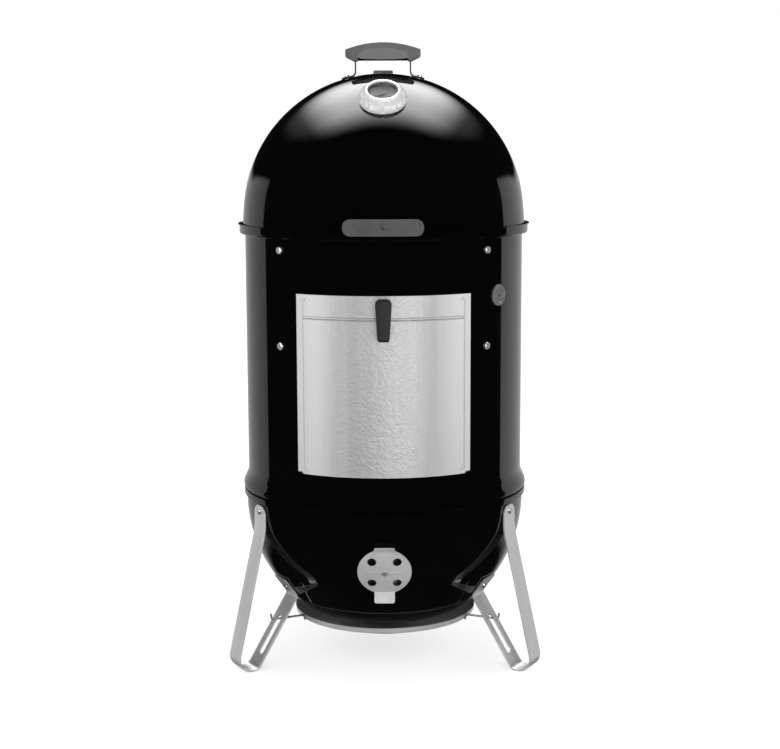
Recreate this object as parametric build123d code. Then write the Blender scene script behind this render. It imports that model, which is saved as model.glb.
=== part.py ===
from build123d import *
import math
import os

# Vertical water smoker: bowl on three strap legs, centre section with a side door, domed lid.
# Millimetres, +Z up, the smoker's axis is the Z axis, the ground is z = 0 and the door faces -Y.
# An azimuth is counted from the front (-Y) towards the right (+X).

# ---- sheet metal and fasteners ----
SHEET = 1.5                     # enamelled steel wall
RUNNING_GAP = 0.05              # radial clearance of a turning pin
SHELL_GAP = 0.3                 # air between a damper and its shell
BOLT_RADIUS = 3.0               # M6 shank
BOLT_HOLE = 3.3                 # its clearance hole
NUT_FLATS = 10.0                # across the flats
NUT_HEIGHT = 5.0

# ---- bowl ----
BOWL_RADIUS = 279.5             # outer radius of the round part
BOWL_CENTRE_Z = 323.4
BOWL_TURN = 50.0                # degrees below level where the round part meets the bottom
BOWL_BOTTOM_RADIUS = 140.0      # radius of the turn into the flat bottom
BOWL_RIM_TOP = 343.0
BOWL_RIM_OUT = 284.2
BOWL_RIM_DROP = 12.0

# ---- centre section ----
BODY_RADIUS = 275.5             # outer radius of the cylinder
SEAT_Z = 344.9                  # middle of the flange that stands on the bowl rim
SEAT_OUT = 284.75
SPIGOT_RADIUS = 274.5
SPIGOT_END = 322.0
FLARE_LOW = 354.0
FLARE_HIGH = 376.0
LEDGE_Z = 852.6                 # middle of the ledge that carries the lid
LEDGE_OUT = 285.75
RIM_TOP = 870.7
RIM_LIP = 289.3

# ---- lid ----
LID_RADIUS = 278.0              # outer radius of the dome
LID_CENTRE_Z = 884.2
SKIRT_START = 4.8               # degrees above level where the dome turns into a straight skirt
SKIRT_END_Z = 855.2

# ---- door ----
DOOR_INSIDE = 279.3
DOOR_OUTSIDE = 280.8
DOOR_EDGE_INSIDE = 276.0        # how far in the turned edges reach
DOOR_HALF_ANGLE = 35.4
DOOR_LOW = 410.4
DOOR_HIGH = 750.9
DOORWAY_HALF_ANGLE = 34.0
DOORWAY_LOW = 425.0
DOORWAY_HIGH = 738.0
HOOK_AZIMUTH = 30.6
HOOK_WIDTH = 22.0
DOOR_RIVET_AZIMUTH = 32.0
DOOR_RIVET_HEIGHTS = (420.0, 741.5)
LATCH_Z = 731.4
LATCH_TOP = 746.4
LATCH_LOW = 668.4
LATCH_WIDTHS = (15.0, 11.0)     # half widths of the handle, above and below
LATCH_FRONT = 303.0             # how far out the handle's two faces are
LATCH_BACK = 285.0
TONGUE_LENGTH = 24.0            # from the pivot to the middle of the tongue's round end
TONGUE_HALF = 5.0
TONGUE_FRONT = 270.5

# ---- grates, pan and fuel ring ----
BRACKET_AZIMUTHS = (45.0, 135.0, 225.0, 315.0)
BRACKET_WIDTH = 25.0
BRACKET_SHEET = 2.0
UPPER_BOLT_Z = 829.4
LOWER_BOLT_Z = 647.9
UPPER_TREAD = 841.0
LOWER_TREAD = 633.0
PAN_TREAD = 588.0
UPPER_TREAD_REACH = 259.0       # radius of the upper tread's inner end
DROP_RADIUS = 247.5             # where the bracket drops from the lower tread to the pan's
PAN_TREAD_REACH = 234.0
REST_GAP = 0.3                  # air under a part that only rests on another
GRATE_RIM_ROD = 8.0
GRATE_ROD = 5.0
GRATE_PITCH = 20.0
UPPER_GRATE_RADIUS = 269.0
LOWER_GRATE_RADIUS = 256.0
FUEL_GRATE_RADIUS = 228.0
FUEL_LEDGE_Z = 171.6
FUEL_LEDGE_REACH = 206.0        # radius of the ledge's inner end
FUEL_LEDGE_WIDTH = 28.0
RING_RADIUS = 222.0
RING_HEIGHT = 190.0
RING_HOLE = 9.0                 # radius of the air holes in the ring
RING_HOLES_AROUND = 18
RING_HOLE_ROWS = 4
RING_ROW_PITCH = 44.0
PAN_LIP = 243.0
PAN_TOP_RADIUS = 231.0
PAN_BASE_RADIUS = 150.0
PAN_DEPTH = 130.0

# ---- legs and heat shield ----
LEG_AZIMUTHS = (-60.0, 60.0, 180.0)
LEG_WIDTH = 46.0
LEG_SHEET = 3.0
LEG_TOP_Z = 327.0
LEG_BOLT_Z = 315.4
LEG_TOP_R = 281.3
LEG_KNEE_Z = 280.0
FOOT_OUT_R = 346.9
FOOT_IN_R = 301.0
FLANGE_DROP = 36.4              # degrees below level of the flange on the bowl
FLANGE_HALF = 23.0
LEG_BENDS = (120, 26, 14, 8)    # bend radii of the middle line, from the top to the flange
LEG_TOP_CORNER = 18.0
LEG_SLOT = (85.0, 17.0)         # length and width of the slot in the inner arm
LEG_SLOT_AT = 71.0              # its middle, measured up the arm from the foot's corner
ANCHOR_AT = 20.0                # the small hole, measured the same way
ANCHOR_RADIUS = 2.5
LEG_BOLT_HEAD = (6.5, 3.6)      # radius and height
SHIELD_RADIUS = 183.3
SHIELD_TOP = 89.4
SHIELD_BASE = 52.4
WIRE_RADIUS = 2.0

# ---- dampers ----
DAMPER_AZIMUTHS = (0.0, 120.0, 240.0)
BOWL_DAMPER_DROP = 20.9         # degrees below level
TOP_DAMPER_RISE = 68.9          # degrees above level, at the back of the lid
DAMPER_RADIUS = 51.5
DAMPER_HOLE = 8.5
DAMPER_HOLE_CIRCLE = 34.0
DAMPER_TAB_WIDTH = 39.0
RIVET_RADIUS = 3.0

# ---- thermometer, front grip, probe grommet, lid handle ----
GAUGE_RISE = 54.1               # degrees above level, at the front of the lid
GAUGE_HOLE = 6.3
GRIP_Z = (861.4, 892.1)
GRIP_HALF_ANGLE = 14.4
GRIP_INSIDE = 291.8
GRIP_OUTSIDE = 299.5
GRIP_SCREW_Z = 878.0
GRIP_END_RADIUS = 14.0
GROMMET_AZIMUTH = 52.1
GROMMET_Z = 741.7
GROMMET_HOLE = 16.0
PROBE_BORE = 3.0
HANDLE_HALF = 73.7
HANDLE_CREST = 1222.0
HANDLE_UNDERSIDE = 1191.2
HANDLE_DEPTH = 32.0
STRAP_SHEET = 2.5
STRAP_WIDTH = 26.0
STRAP_BAR_Z = 1197.0
STRAP_LEG_X = 54.0
STRAP_FOOT_X = 71.0


# ---------------------------------------------------------------- shared shapes

def write(shape, node):
    """Write one sub-part as parts/NODE.step."""
    export_step(shape, "parts/" + node + ".step")


def round_about_axis(face):
    """Turn a face drawn with x as radius and y as height into a solid of revolution."""
    return revolve(Plane.XZ * face, axis=Axis.Z)


def sheet_band(curve, thickness, width):
    """A strap of one thickness whose middle line is the curve, in radius and height."""
    return extrude(Plane.XZ * trace(curve, line_width=thickness), amount=width / 2, both=True)


def at_azimuth(shape, azimuth):
    """Turn a shape drawn along +X round the axis to an azimuth."""
    return Rot(0, 0, azimuth - 90) * shape


def cylinder_along(start, direction, radius, length):
    """A round bar from a start point along a direction."""
    plane = Plane(origin=start, z_dir=direction)
    return plane * Cylinder(radius, length, align=(Align.CENTER, Align.CENTER, Align.MIN))


def hexagon_along(start, direction, flats, length):
    """A hexagonal bar from a start point along a direction."""
    plane = Plane(origin=start, z_dir=direction)
    outline = RegularPolygon(flats / 2, 6, major_radius=False)
    return extrude(plane * outline, amount=length)


def joined(shapes):
    """Fuse a list of overlapping shapes into one."""
    first, *rest = shapes
    return first.fuse(*rest) if rest else first


def group(shapes):
    """Keep a list of solids together as separate solids of one node."""
    return Compound(children=list(shapes))


def sphere_frame(centre_z, radius, rise, azimuth):
    """Local frame on a sphere: x to the right, y up the surface, z straight out."""
    a = math.radians(azimuth)
    e = math.radians(rise)
    out = (math.cos(e) * math.sin(a), -math.cos(e) * math.cos(a), math.sin(e))
    right = (math.cos(a), math.sin(a), 0)
    origin = (radius * out[0], radius * out[1], centre_z + radius * out[2])
    return Plane(origin=origin, x_dir=right, z_dir=out)


def fastener(start, direction, grip, head_radius, head_height):
    """A dome-headed bolt: start is under its head, grip is the length to the nut's far side."""
    back = tuple(-c for c in direction)
    shank = cylinder_along(start, direction, BOLT_RADIUS, grip)
    head = cylinder_along(start, back, head_radius, head_height)
    head = fillet(head.faces().sort_by(Axis(start, back))[-1].edges(), head_height * 0.6)
    return shank + head


def nut(start, direction):
    """A plain nut on a bolt's shank, its near face at start."""
    body = hexagon_along(start, direction, NUT_FLATS, NUT_HEIGHT)
    return body - cylinder_along(start, direction, BOLT_RADIUS, NUT_HEIGHT)


# ---------------------------------------------------------------- dampers

def damper_outline_frame(radius):
    """Where the damper's sphere lies in the damper's own local frame."""
    return Pos(0, 0, -radius)


def damper(shell_radius, long_tab):
    """A vent disc in its local frame: a cap of the shell's own curve with two bent tabs."""
    inner = shell_radius + SHELL_GAP
    disc = Cylinder(DAMPER_RADIUS, 40)
    cap = disc & (damper_outline_frame(shell_radius) * (Sphere(inner + SHEET) - Sphere(inner)))
    for quarter in range(4):
        a = math.radians(45 + 90 * quarter)
        x, y = DAMPER_HOLE_CIRCLE * math.cos(a), DAMPER_HOLE_CIRCLE * math.sin(a)
        cap -= Pos(x, y, 0) * Cylinder(DAMPER_HOLE, 40)
    cap -= Cylinder(RIVET_RADIUS + RUNNING_GAP, 40)
    edge_reach = DAMPER_RADIUS * 0.91
    edge_drop = shell_radius - math.sqrt(shell_radius ** 2 - edge_reach ** 2)
    for side, length in ((1, 16.0), (-1, long_tab)):
        tab = Box(DAMPER_TAB_WIDTH, length, SHEET, align=(Align.CENTER, Align.MIN, Align.CENTER))
        tab = fillet(tab.edges().filter_by(Axis.Z).sort_by(Axis.Y)[-2:], 4.0)
        tab = Rot(32, 0, 0) * tab
        foot = Pos(0, edge_reach, SHELL_GAP + SHEET / 2 - edge_drop) * tab
        cap += foot if side > 0 else Rot(0, 0, 180) * foot
    return cap


def damper_rivet(shell_radius):
    """The rivet that a vent disc turns on, in the disc's local frame."""
    outside = SHELL_GAP + SHEET + 0.3
    inside = -SHEET - 0.2
    shank = Pos(0, 0, inside - 1) * Cylinder(RIVET_RADIUS, outside - inside + 2,
                                             align=(Align.CENTER, Align.CENTER, Align.MIN))
    top = Pos(0, 0, outside) * Cylinder(6.0, 2.0, align=(Align.CENTER, Align.CENTER, Align.MIN))
    top = fillet(top.faces().sort_by(Axis.Z)[-1].edges(), 1.4)
    tail = Pos(0, 0, inside) * Cylinder(5.0, 1.6, align=(Align.CENTER, Align.CENTER, Align.MAX))
    return shank + top + tail


def cut_vent(shell, frame):
    """Cut a damper's four vent holes and rivet hole through a shell."""
    cutters = [Cylinder(RIVET_RADIUS, 30)]
    for quarter in range(4):
        a = math.radians(45 + 90 * quarter)
        x, y = DAMPER_HOLE_CIRCLE * math.cos(a), DAMPER_HOLE_CIRCLE * math.sin(a)
        cutters.append(Pos(x, y, 0) * Cylinder(DAMPER_HOLE, 30))
    for cutter in cutters:
        shell -= frame * cutter
    return shell


def bowl_damper_frame(azimuth):
    return sphere_frame(BOWL_CENTRE_Z, BOWL_RADIUS, -BOWL_DAMPER_DROP, azimuth)


def top_damper_frame():
    return sphere_frame(LID_CENTRE_Z, LID_RADIUS, TOP_DAMPER_RISE, 180)


# ---------------------------------------------------------------- bowl

def flange_point(offset, along):
    """Radius and height on the leg flange: offset out from the bowl, along up its slope."""
    e = math.radians(FLANGE_DROP)
    reach = BOWL_RADIUS + offset
    return (reach * math.cos(e) + along * math.sin(e),
            BOWL_CENTRE_Z - reach * math.sin(e) + along * math.cos(e))


def flange_direction():
    """Unit vector from the flange bolt into the bowl, in radius and height."""
    e = math.radians(FLANGE_DROP)
    return (-math.cos(e), 0, math.sin(e))


def make_bowl_shell():
    middle = BOWL_RADIUS - SHEET / 2
    turn = math.radians(BOWL_TURN)
    corner_r = (middle - BOWL_BOTTOM_RADIUS) * math.cos(turn)
    corner_z = BOWL_CENTRE_Z - (middle - BOWL_BOTTOM_RADIUS) * math.sin(turn)
    bottom_z = corner_z - BOWL_BOTTOM_RADIUS
    line = Curve() + [
        Line((0, bottom_z), (corner_r, bottom_z)),
        CenterArc((corner_r, corner_z), BOWL_BOTTOM_RADIUS, -90, 90 - BOWL_TURN),
        CenterArc((0, BOWL_CENTRE_Z), middle, -BOWL_TURN, BOWL_TURN),
        FilletPolyline((middle, BOWL_CENTRE_Z), (middle, BOWL_RIM_TOP),
                       (BOWL_RIM_OUT, BOWL_RIM_TOP),
                       (BOWL_RIM_OUT, BOWL_RIM_TOP - BOWL_RIM_DROP), radius=2.5),
    ]
    shell = round_about_axis(trace(line, line_width=SHEET))
    for azimuth in DAMPER_AZIMUTHS:
        shell = cut_vent(shell, bowl_damper_frame(azimuth))
    for azimuth in LEG_AZIMUTHS:
        x, z = flange_point(0, 0)
        hole = cylinder_along((x, 0, z), flange_direction(), BOLT_HOLE, 20)
        hole += cylinder_along((LEG_TOP_R, 0, LEG_BOLT_Z), (-1, 0, 0), BOLT_HOLE, 20)
        shell -= at_azimuth(hole, azimuth)
    return shell


def make_leg(azimuth):
    foot_z = LEG_SHEET / 2
    flange_offset = 0.2 + LEG_SHEET / 2
    low = flange_point(flange_offset, -FLANGE_HALF)
    high = flange_point(flange_offset, FLANGE_HALF)
    line = FilletPolyline((LEG_TOP_R, LEG_TOP_Z), (LEG_TOP_R, LEG_KNEE_Z), (FOOT_OUT_R, foot_z),
                          (FOOT_IN_R, foot_z), low, high, radius=LEG_BENDS)
    strap = sheet_band(line, LEG_SHEET, LEG_WIDTH)
    top_edges = strap.edges().filter_by(Axis.X).sort_by(Axis.Z)[-2:]
    strap = fillet(top_edges, LEG_TOP_CORNER)
    strap -= cylinder_along((LEG_TOP_R + 5, 0, LEG_BOLT_Z), (-1, 0, 0), BOLT_HOLE, 10)
    x, z = flange_point(5, 0)
    strap -= cylinder_along((x, 0, z), flange_direction(), BOLT_HOLE, 10)
    # long slot and small anchor hole in the inner arm
    run_r, run_z = low[0] - FOOT_IN_R, low[1] - foot_z
    length = math.hypot(run_r, run_z)
    up = (run_r / length, 0, run_z / length)
    out = (run_z / length, 0, -run_r / length)
    arm = Plane(origin=(FOOT_IN_R, 0, foot_z), x_dir=up, z_dir=out)
    slot = Pos(LEG_SLOT_AT, 0, 0) * extrude(SlotOverall(*LEG_SLOT), amount=8, both=True)
    strap -= arm * slot
    strap -= arm * (Pos(ANCHOR_AT, 0, 0) * Cylinder(ANCHOR_RADIUS, 16))
    return at_azimuth(strap, azimuth)


def make_leg_bolts():
    bolts = []
    for azimuth in LEG_AZIMUTHS:
        top = fastener((LEG_TOP_R + LEG_SHEET / 2, 0, LEG_BOLT_Z), (-1, 0, 0), 16, *LEG_BOLT_HEAD)
        x, z = flange_point(0.2 + LEG_SHEET, 0)
        low = fastener((x, 0, z), flange_direction(), 16, *LEG_BOLT_HEAD)
        bolts += [at_azimuth(top, azimuth), at_azimuth(low, azimuth)]
    return group(bolts)


def make_leg_nuts():
    nuts = []
    inside = BOWL_RADIUS - SHEET - 0.6
    for azimuth in LEG_AZIMUTHS:
        top = nut((inside, 0, LEG_BOLT_Z), (-1, 0, 0))
        x, z = flange_point(-SHEET - 3.0, 0)
        low = nut((x, 0, z), flange_direction())
        nuts += [at_azimuth(top, azimuth), at_azimuth(low, azimuth)]
    return group(nuts)


def make_charcoal_bracket(azimuth):
    """A ledge inside the bowl, held by the lower leg bolt."""
    offset = -SHEET - 0.7 - 1.0
    low = flange_point(offset, -14)
    rise = FUEL_LEDGE_Z - flange_point(offset, 0)[1]
    knee = flange_point(offset, rise / math.cos(math.radians(FLANGE_DROP)))
    line = FilletPolyline(low, knee, (FUEL_LEDGE_REACH, FUEL_LEDGE_Z), radius=2.5)
    plate = sheet_band(line, BRACKET_SHEET, FUEL_LEDGE_WIDTH)
    x, z = flange_point(0, 0)
    plate -= cylinder_along((x, 0, z), flange_direction(), BOLT_HOLE, 10)
    return at_azimuth(plate, azimuth)


def make_heat_shield():
    line = FilletPolyline((0, SHIELD_BASE), (100, SHIELD_BASE), (SHIELD_RADIUS - 1, 80),
                          (SHIELD_RADIUS, SHIELD_TOP), radius=[25, 4])
    return round_about_axis(trace(line, line_width=SHEET))


def make_heat_shield_wire(azimuth):
    """A wire from the shield's edge that hooks through the leg's slot."""
    start = SHIELD_RADIUS + SHEET / 2 + WIRE_RADIUS
    path = FilletPolyline((start, 0, 80), (start, 0, 90), (259, 0, 92), (262, 0, 104), radius=4)
    ring = Plane(origin=(start, 0, 80), z_dir=(0, 0, 1)) * Circle(WIRE_RADIUS)
    return at_azimuth(sweep(ring, path=path), azimuth)


def make_damper_rivets():
    rivet = damper_rivet(BOWL_RADIUS)
    return group([bowl_damper_frame(azimuth) * rivet for azimuth in DAMPER_AZIMUTHS])


# ---------------------------------------------------------------- grates, pan and fuel ring

def rod_grate(radius, base_z, pitch, rod, handles):
    """A round grate: rim ring, two cross rods under a row of parallel rods, and two handles."""
    rim = radius - GRATE_RIM_ROD / 2
    ring_z = base_z + GRATE_RIM_ROD / 2
    pieces = [Pos(0, 0, ring_z) * Torus(rim, GRATE_RIM_ROD / 2)]
    rod_z = ring_z + rod / 2 - 0.5
    count = int((rim - 6) / pitch)
    for step in range(-count, count + 1):
        x = step * pitch
        half = math.sqrt(rim ** 2 - x ** 2)
        pieces.append(cylinder_along((x, -half, rod_z), (0, 1, 0), rod / 2, 2 * half))
    for y in (-rim * 0.42, rim * 0.42):
        half = math.sqrt(rim ** 2 - y ** 2)
        pieces.append(cylinder_along((-half, y, ring_z - 1.2), (1, 0, 0), rod / 2, 2 * half))
    if handles:
        for side in (-1, 1):
            inner = side * pitch * int((rim - 40) / pitch)
            outer = side * (rim - 8)
            line = FilletPolyline((inner, -45, rod_z), (inner, -45, rod_z + 9), (outer, -45, rod_z + 9),
                                  (outer, 45, rod_z + 9), (inner, 45, rod_z + 9),
                                  (inner, 45, rod_z), radius=4)
            ring = Plane(origin=(inner, -45, rod_z), z_dir=(0, 0, 1)) * Circle(2.5)
            pieces.append(sweep(ring, path=line))
    return joined(pieces)


def make_charcoal_ring():
    base = FUEL_LEDGE_Z + 1 + REST_GAP + GRATE_RIM_ROD / 2 + GRATE_ROD - 0.5 + 1.0 + REST_GAP
    wall = Cylinder(RING_RADIUS, RING_HEIGHT) - Cylinder(RING_RADIUS - SHEET, RING_HEIGHT)
    for row in range(RING_HOLE_ROWS):
        z = RING_ROW_PITCH * (row - (RING_HOLE_ROWS - 1) / 2)
        for step in range(RING_HOLES_AROUND):
            angle = (step + 0.5 * (row % 2)) * 360 / RING_HOLES_AROUND
            hole = cylinder_along((RING_RADIUS - 10, 0, z), (1, 0, 0), RING_HOLE, 20)
            wall -= Rot(0, 0, angle) * hole
    return Pos(0, 0, base + RING_HEIGHT / 2) * wall


def make_water_pan():
    lip_z = PAN_TREAD + 1 + REST_GAP + SHEET / 2
    line = FilletPolyline((0, lip_z - PAN_DEPTH), (PAN_BASE_RADIUS, lip_z - PAN_DEPTH),
                          (PAN_TOP_RADIUS - 1, lip_z), (PAN_LIP, lip_z),
                          radius=[30, 3])
    return round_about_axis(trace(line, line_width=SHEET))


def make_grate_bracket(azimuth):
    wall = BODY_RADIUS - SHEET - 0.4 - BRACKET_SHEET / 2
    line = FilletPolyline((UPPER_TREAD_REACH, UPPER_TREAD), (wall, UPPER_TREAD),
                          (wall, LOWER_TREAD), (DROP_RADIUS, LOWER_TREAD),
                          (DROP_RADIUS, PAN_TREAD), (PAN_TREAD_REACH, PAN_TREAD), radius=3)
    strap = sheet_band(line, BRACKET_SHEET, BRACKET_WIDTH)
    for z in (UPPER_BOLT_Z, LOWER_BOLT_Z):
        strap -= cylinder_along((wall + 5, 0, z), (-1, 0, 0), BOLT_HOLE, 10)
    return at_azimuth(strap, azimuth)


def make_bracket_bolts():
    bolts = []
    for azimuth in BRACKET_AZIMUTHS:
        for z in (UPPER_BOLT_Z, LOWER_BOLT_Z):
            bolt = fastener((BODY_RADIUS + 0.3, 0, z), (-1, 0, 0), 12.5, 7.0, 3.4)
            bolts.append(at_azimuth(bolt, azimuth))
    return group(bolts)


def make_bracket_nuts():
    face = BODY_RADIUS - SHEET - 0.4 - BRACKET_SHEET
    nuts = []
    for azimuth in BRACKET_AZIMUTHS:
        for z in (UPPER_BOLT_Z, LOWER_BOLT_Z):
            nuts.append(at_azimuth(nut((face, 0, z), (-1, 0, 0)), azimuth))
    return group(nuts)


# ---------------------------------------------------------------- centre section

def make_center_shell():
    middle = BODY_RADIUS - SHEET / 2
    line = FilletPolyline((SPIGOT_RADIUS, SPIGOT_END), (SPIGOT_RADIUS, SEAT_Z), (SEAT_OUT, SEAT_Z),
                          (SEAT_OUT, FLARE_LOW), (middle, FLARE_HIGH), (middle, LEDGE_Z),
                          (LEDGE_OUT, LEDGE_Z), (LEDGE_OUT, RIM_TOP), (RIM_LIP, RIM_TOP),
                          radius=[3, 4, 20, 40, 3, 3.5, 1.5])
    shell = round_about_axis(trace(line, line_width=SHEET))
    height = DOORWAY_HIGH - DOORWAY_LOW
    wedge = CenterArc((0, 0), 320, -90 - DOORWAY_HALF_ANGLE, 2 * DOORWAY_HALF_ANGLE)
    outline = make_face(Curve() + [Line((0, 0), wedge @ 0), wedge, Line(wedge @ 1, (0, 0))])
    doorway = extrude(Pos(0, 0, DOORWAY_LOW) * outline, amount=height) - Cylinder(250, 3000)
    shell -= doorway
    for azimuth in BRACKET_AZIMUTHS:
        for z in (UPPER_BOLT_Z, LOWER_BOLT_Z):
            hole = cylinder_along((BODY_RADIUS + 5, 0, z), (-1, 0, 0), BOLT_HOLE, 15)
            shell -= at_azimuth(hole, azimuth)
    hole = cylinder_along((BODY_RADIUS + 8, 0, GROMMET_Z), (-1, 0, 0), GROMMET_HOLE, 20)
    return shell - at_azimuth(hole, GROMMET_AZIMUTH)


def make_probe_grommet():
    """A soft spool: outer flange, neck in the wall's hole, inner flange, bore for a probe."""
    start = (BODY_RADIUS - 6.0, 0, GROMMET_Z)
    spool = cylinder_along(start, (1, 0, 0), 19, 3.4)
    spool += cylinder_along(start, (1, 0, 0), GROMMET_HOLE - 0.2, 8)
    outer = cylinder_along((BODY_RADIUS + 0.2, 0, GROMMET_Z), (1, 0, 0), 21, 5)
    outer = fillet(outer.faces().sort_by(Axis.X)[-1].edges(), 2.5)
    spool += outer
    spool -= cylinder_along((BODY_RADIUS - 10, 0, GROMMET_Z), (1, 0, 0), PROBE_BORE, 30)
    return at_azimuth(spool, GROMMET_AZIMUTH)


# ---------------------------------------------------------------- door and latch

def sector(inner, outer, half_angle, low, high):
    """A block between two radii and two heights, centred on the front."""
    start, size = -90 - half_angle, 2 * half_angle
    near = CenterArc((0, 0), inner, start, size)
    far = CenterArc((0, 0), outer, start, size)
    sides = [near, far, Line(near @ 0, far @ 0), Line(near @ 1, far @ 1)]
    return extrude(Pos(0, 0, low) * make_face(Curve() + sides), amount=high - low)


def rivet_places():
    """Azimuth and height of the rivets in the door's four corners."""
    return [(side * DOOR_RIVET_AZIMUTH, z) for side in (-1, 1) for z in DOOR_RIVET_HEIGHTS]


def rivet_cutters(radius):
    return [at_azimuth(cylinder_along((276.5, 0, z), (1, 0, 0), radius, 20), azimuth)
            for azimuth, z in rivet_places()]


def make_door_panel():
    edge_angle = math.degrees(SHEET / DOOR_OUTSIDE)
    panel = sector(DOOR_EDGE_INSIDE, DOOR_OUTSIDE, DOOR_HALF_ANGLE, DOOR_LOW, DOOR_HIGH)
    panel -= sector(DOOR_EDGE_INSIDE - 2, DOOR_INSIDE, DOOR_HALF_ANGLE - edge_angle,
                    DOOR_LOW + SHEET, DOOR_HIGH - SHEET)
    panel -= cylinder_along((0, -290, LATCH_Z), (0, 1, 0), BOLT_RADIUS + RUNNING_GAP, 20)
    for cutter in rivet_cutters(2.0):
        panel -= cutter
    return panel


def make_door_hook(side):
    """A folded clip behind the door that hangs over the doorway's lower edge."""
    plate = DOOR_INSIDE - 0.3 - SHEET / 2
    line = FilletPolyline((plate, 413), (plate, 427), (271, 427), (271, 418), radius=1.2)
    hook = at_azimuth(sheet_band(line, SHEET, HOOK_WIDTH), side * HOOK_AZIMUTH)
    for cutter in rivet_cutters(2.0):
        hook -= cutter
    return hook


def make_door_rivets():
    rivets = []
    for azimuth, z in rivet_places():
        inside = DOOR_INSIDE - 0.3 - SHEET
        shank = cylinder_along((inside - 0.3, 0, z), (1, 0, 0), 2.0, DOOR_OUTSIDE + 0.4 - inside)
        head = cylinder_along((DOOR_OUTSIDE + 0.05, 0, z), (1, 0, 0), 3.0, 0.9)
        tail = cylinder_along((inside - 0.05, 0, z), (-1, 0, 0), 3.0, 0.8)
        rivets.append(at_azimuth(shank + head + tail, azimuth))
    return group(rivets)


def make_latch_handle():
    """The tapered handle that hangs from its pivot."""
    front, back = -LATCH_FRONT, -LATCH_BACK
    wide, narrow = LATCH_WIDTHS
    rise, fall = LATCH_TOP - LATCH_Z, LATCH_LOW - LATCH_Z
    outline = Polyline((-wide, rise), (wide, rise), (wide, rise - 14), (narrow, fall),
                       (-narrow, fall), (-wide, rise - 14), close=True)
    face = make_face(outline)
    corners = face.vertices().sort_by(Axis.Y)
    face = fillet(corners[-2:], 9.0)
    face = fillet(face.vertices().sort_by(Axis.Y)[:2], 5.0)
    plane = Plane(origin=(0, back, LATCH_Z), x_dir=(1, 0, 0), z_dir=(0, -1, 0))
    body = extrude(plane * face, amount=back - front)
    body = fillet(body.faces().sort_by(Axis.Y)[0].edges(), 4.0)
    hub = cylinder_along((0, -DOOR_OUTSIDE - 0.3, LATCH_Z), (0, -1, 0), 9, -back - DOOR_OUTSIDE - 0.3)
    bore = cylinder_along((0, -270, LATCH_Z), (0, -1, 0), BOLT_RADIUS, 27)
    return body + hub - bore


def make_latch_shaft():
    return cylinder_along((0, -297, LATCH_Z), (0, 1, 0), BOLT_RADIUS, 31.5)


def make_latch_tongue():
    """The plate inside the door that swings up behind the doorway's top edge."""
    outline = Pos(-TONGUE_LENGTH / 2, 0) * SlotCenterToCenter(TONGUE_LENGTH, 2 * TONGUE_HALF)
    outline += Circle(TONGUE_HALF + 0.7)
    plane = Plane(origin=(0, -TONGUE_FRONT, LATCH_Z), x_dir=(1, 0, 0), z_dir=(0, -1, 0))
    plate = extrude(plane * outline, amount=2.0)
    return plate - cylinder_along((0, -290, LATCH_Z), (0, 1, 0), BOLT_RADIUS, 40)


def make_latch_nut():
    return nut((0, -TONGUE_FRONT, LATCH_Z), (0, 1, 0))


# ---------------------------------------------------------------- lid

def skirt_radius(z):
    """Outer radius of the lid's straight skirt at a height."""
    e = math.radians(SKIRT_START)
    start_r = LID_RADIUS * math.cos(e)
    start_z = LID_CENTRE_Z + LID_RADIUS * math.sin(e)
    return start_r + (start_z - z) * math.tan(e)


def make_lid_shell():
    e = math.radians(SKIRT_START)
    middle = LID_RADIUS - SHEET / 2
    start = (middle * math.cos(e), LID_CENTRE_Z + middle * math.sin(e))
    end = (start[0] + (start[1] - SKIRT_END_Z) * math.tan(e), SKIRT_END_Z)
    line = Curve() + [
        Line(end, start),
        CenterArc((0, LID_CENTRE_Z), middle, SKIRT_START, 90 - SKIRT_START),
    ]
    shell = round_about_axis(trace(line, line_width=SHEET))
    shell = cut_vent(shell, top_damper_frame())
    shell -= gauge_frame() * Cylinder(GAUGE_HOLE, 30)
    for side in (-1, 1):
        shell -= handle_bolt_frame(side) * Cylinder(BOLT_HOLE, 30)
    return shell - cylinder_along((0, -290, GRIP_SCREW_Z), (0, 1, 0), 2.7, 30)


def handle_bolt_frame(side):
    """Local frame on the dome at one foot of the lid handle, z straight out."""
    x = side * STRAP_FOOT_X
    rise = math.sqrt(LID_RADIUS ** 2 - x ** 2)
    out = (x / LID_RADIUS, 0, rise / LID_RADIUS)
    return Plane(origin=(x, 0, LID_CENTRE_Z + rise), x_dir=(0, 1, 0), z_dir=out)


def make_lid_handle_bracket():
    """One bent strap: foot, leg, bar through the grip, leg, foot."""
    lift = STRAP_SHEET / 2 + 0.45

    def foot(x):
        return (x, LID_CENTRE_Z + math.sqrt((LID_RADIUS + lift) ** 2 - x ** 2))

    half = [foot(81), foot(STRAP_LEG_X), (STRAP_LEG_X, STRAP_BAR_Z)]
    points = half + [(-x, z) for x, z in reversed(half)]
    line = FilletPolyline(*points, radius=[9, 4, 4, 9])
    strap = sheet_band(line, STRAP_SHEET, STRAP_WIDTH)
    for side in (-1, 1):
        strap -= handle_bolt_frame(side) * Cylinder(BOLT_HOLE, 30)
        strap -= Pos(side * 30, 0, STRAP_BAR_Z) * Cylinder(2.6, 10)
    return strap


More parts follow.
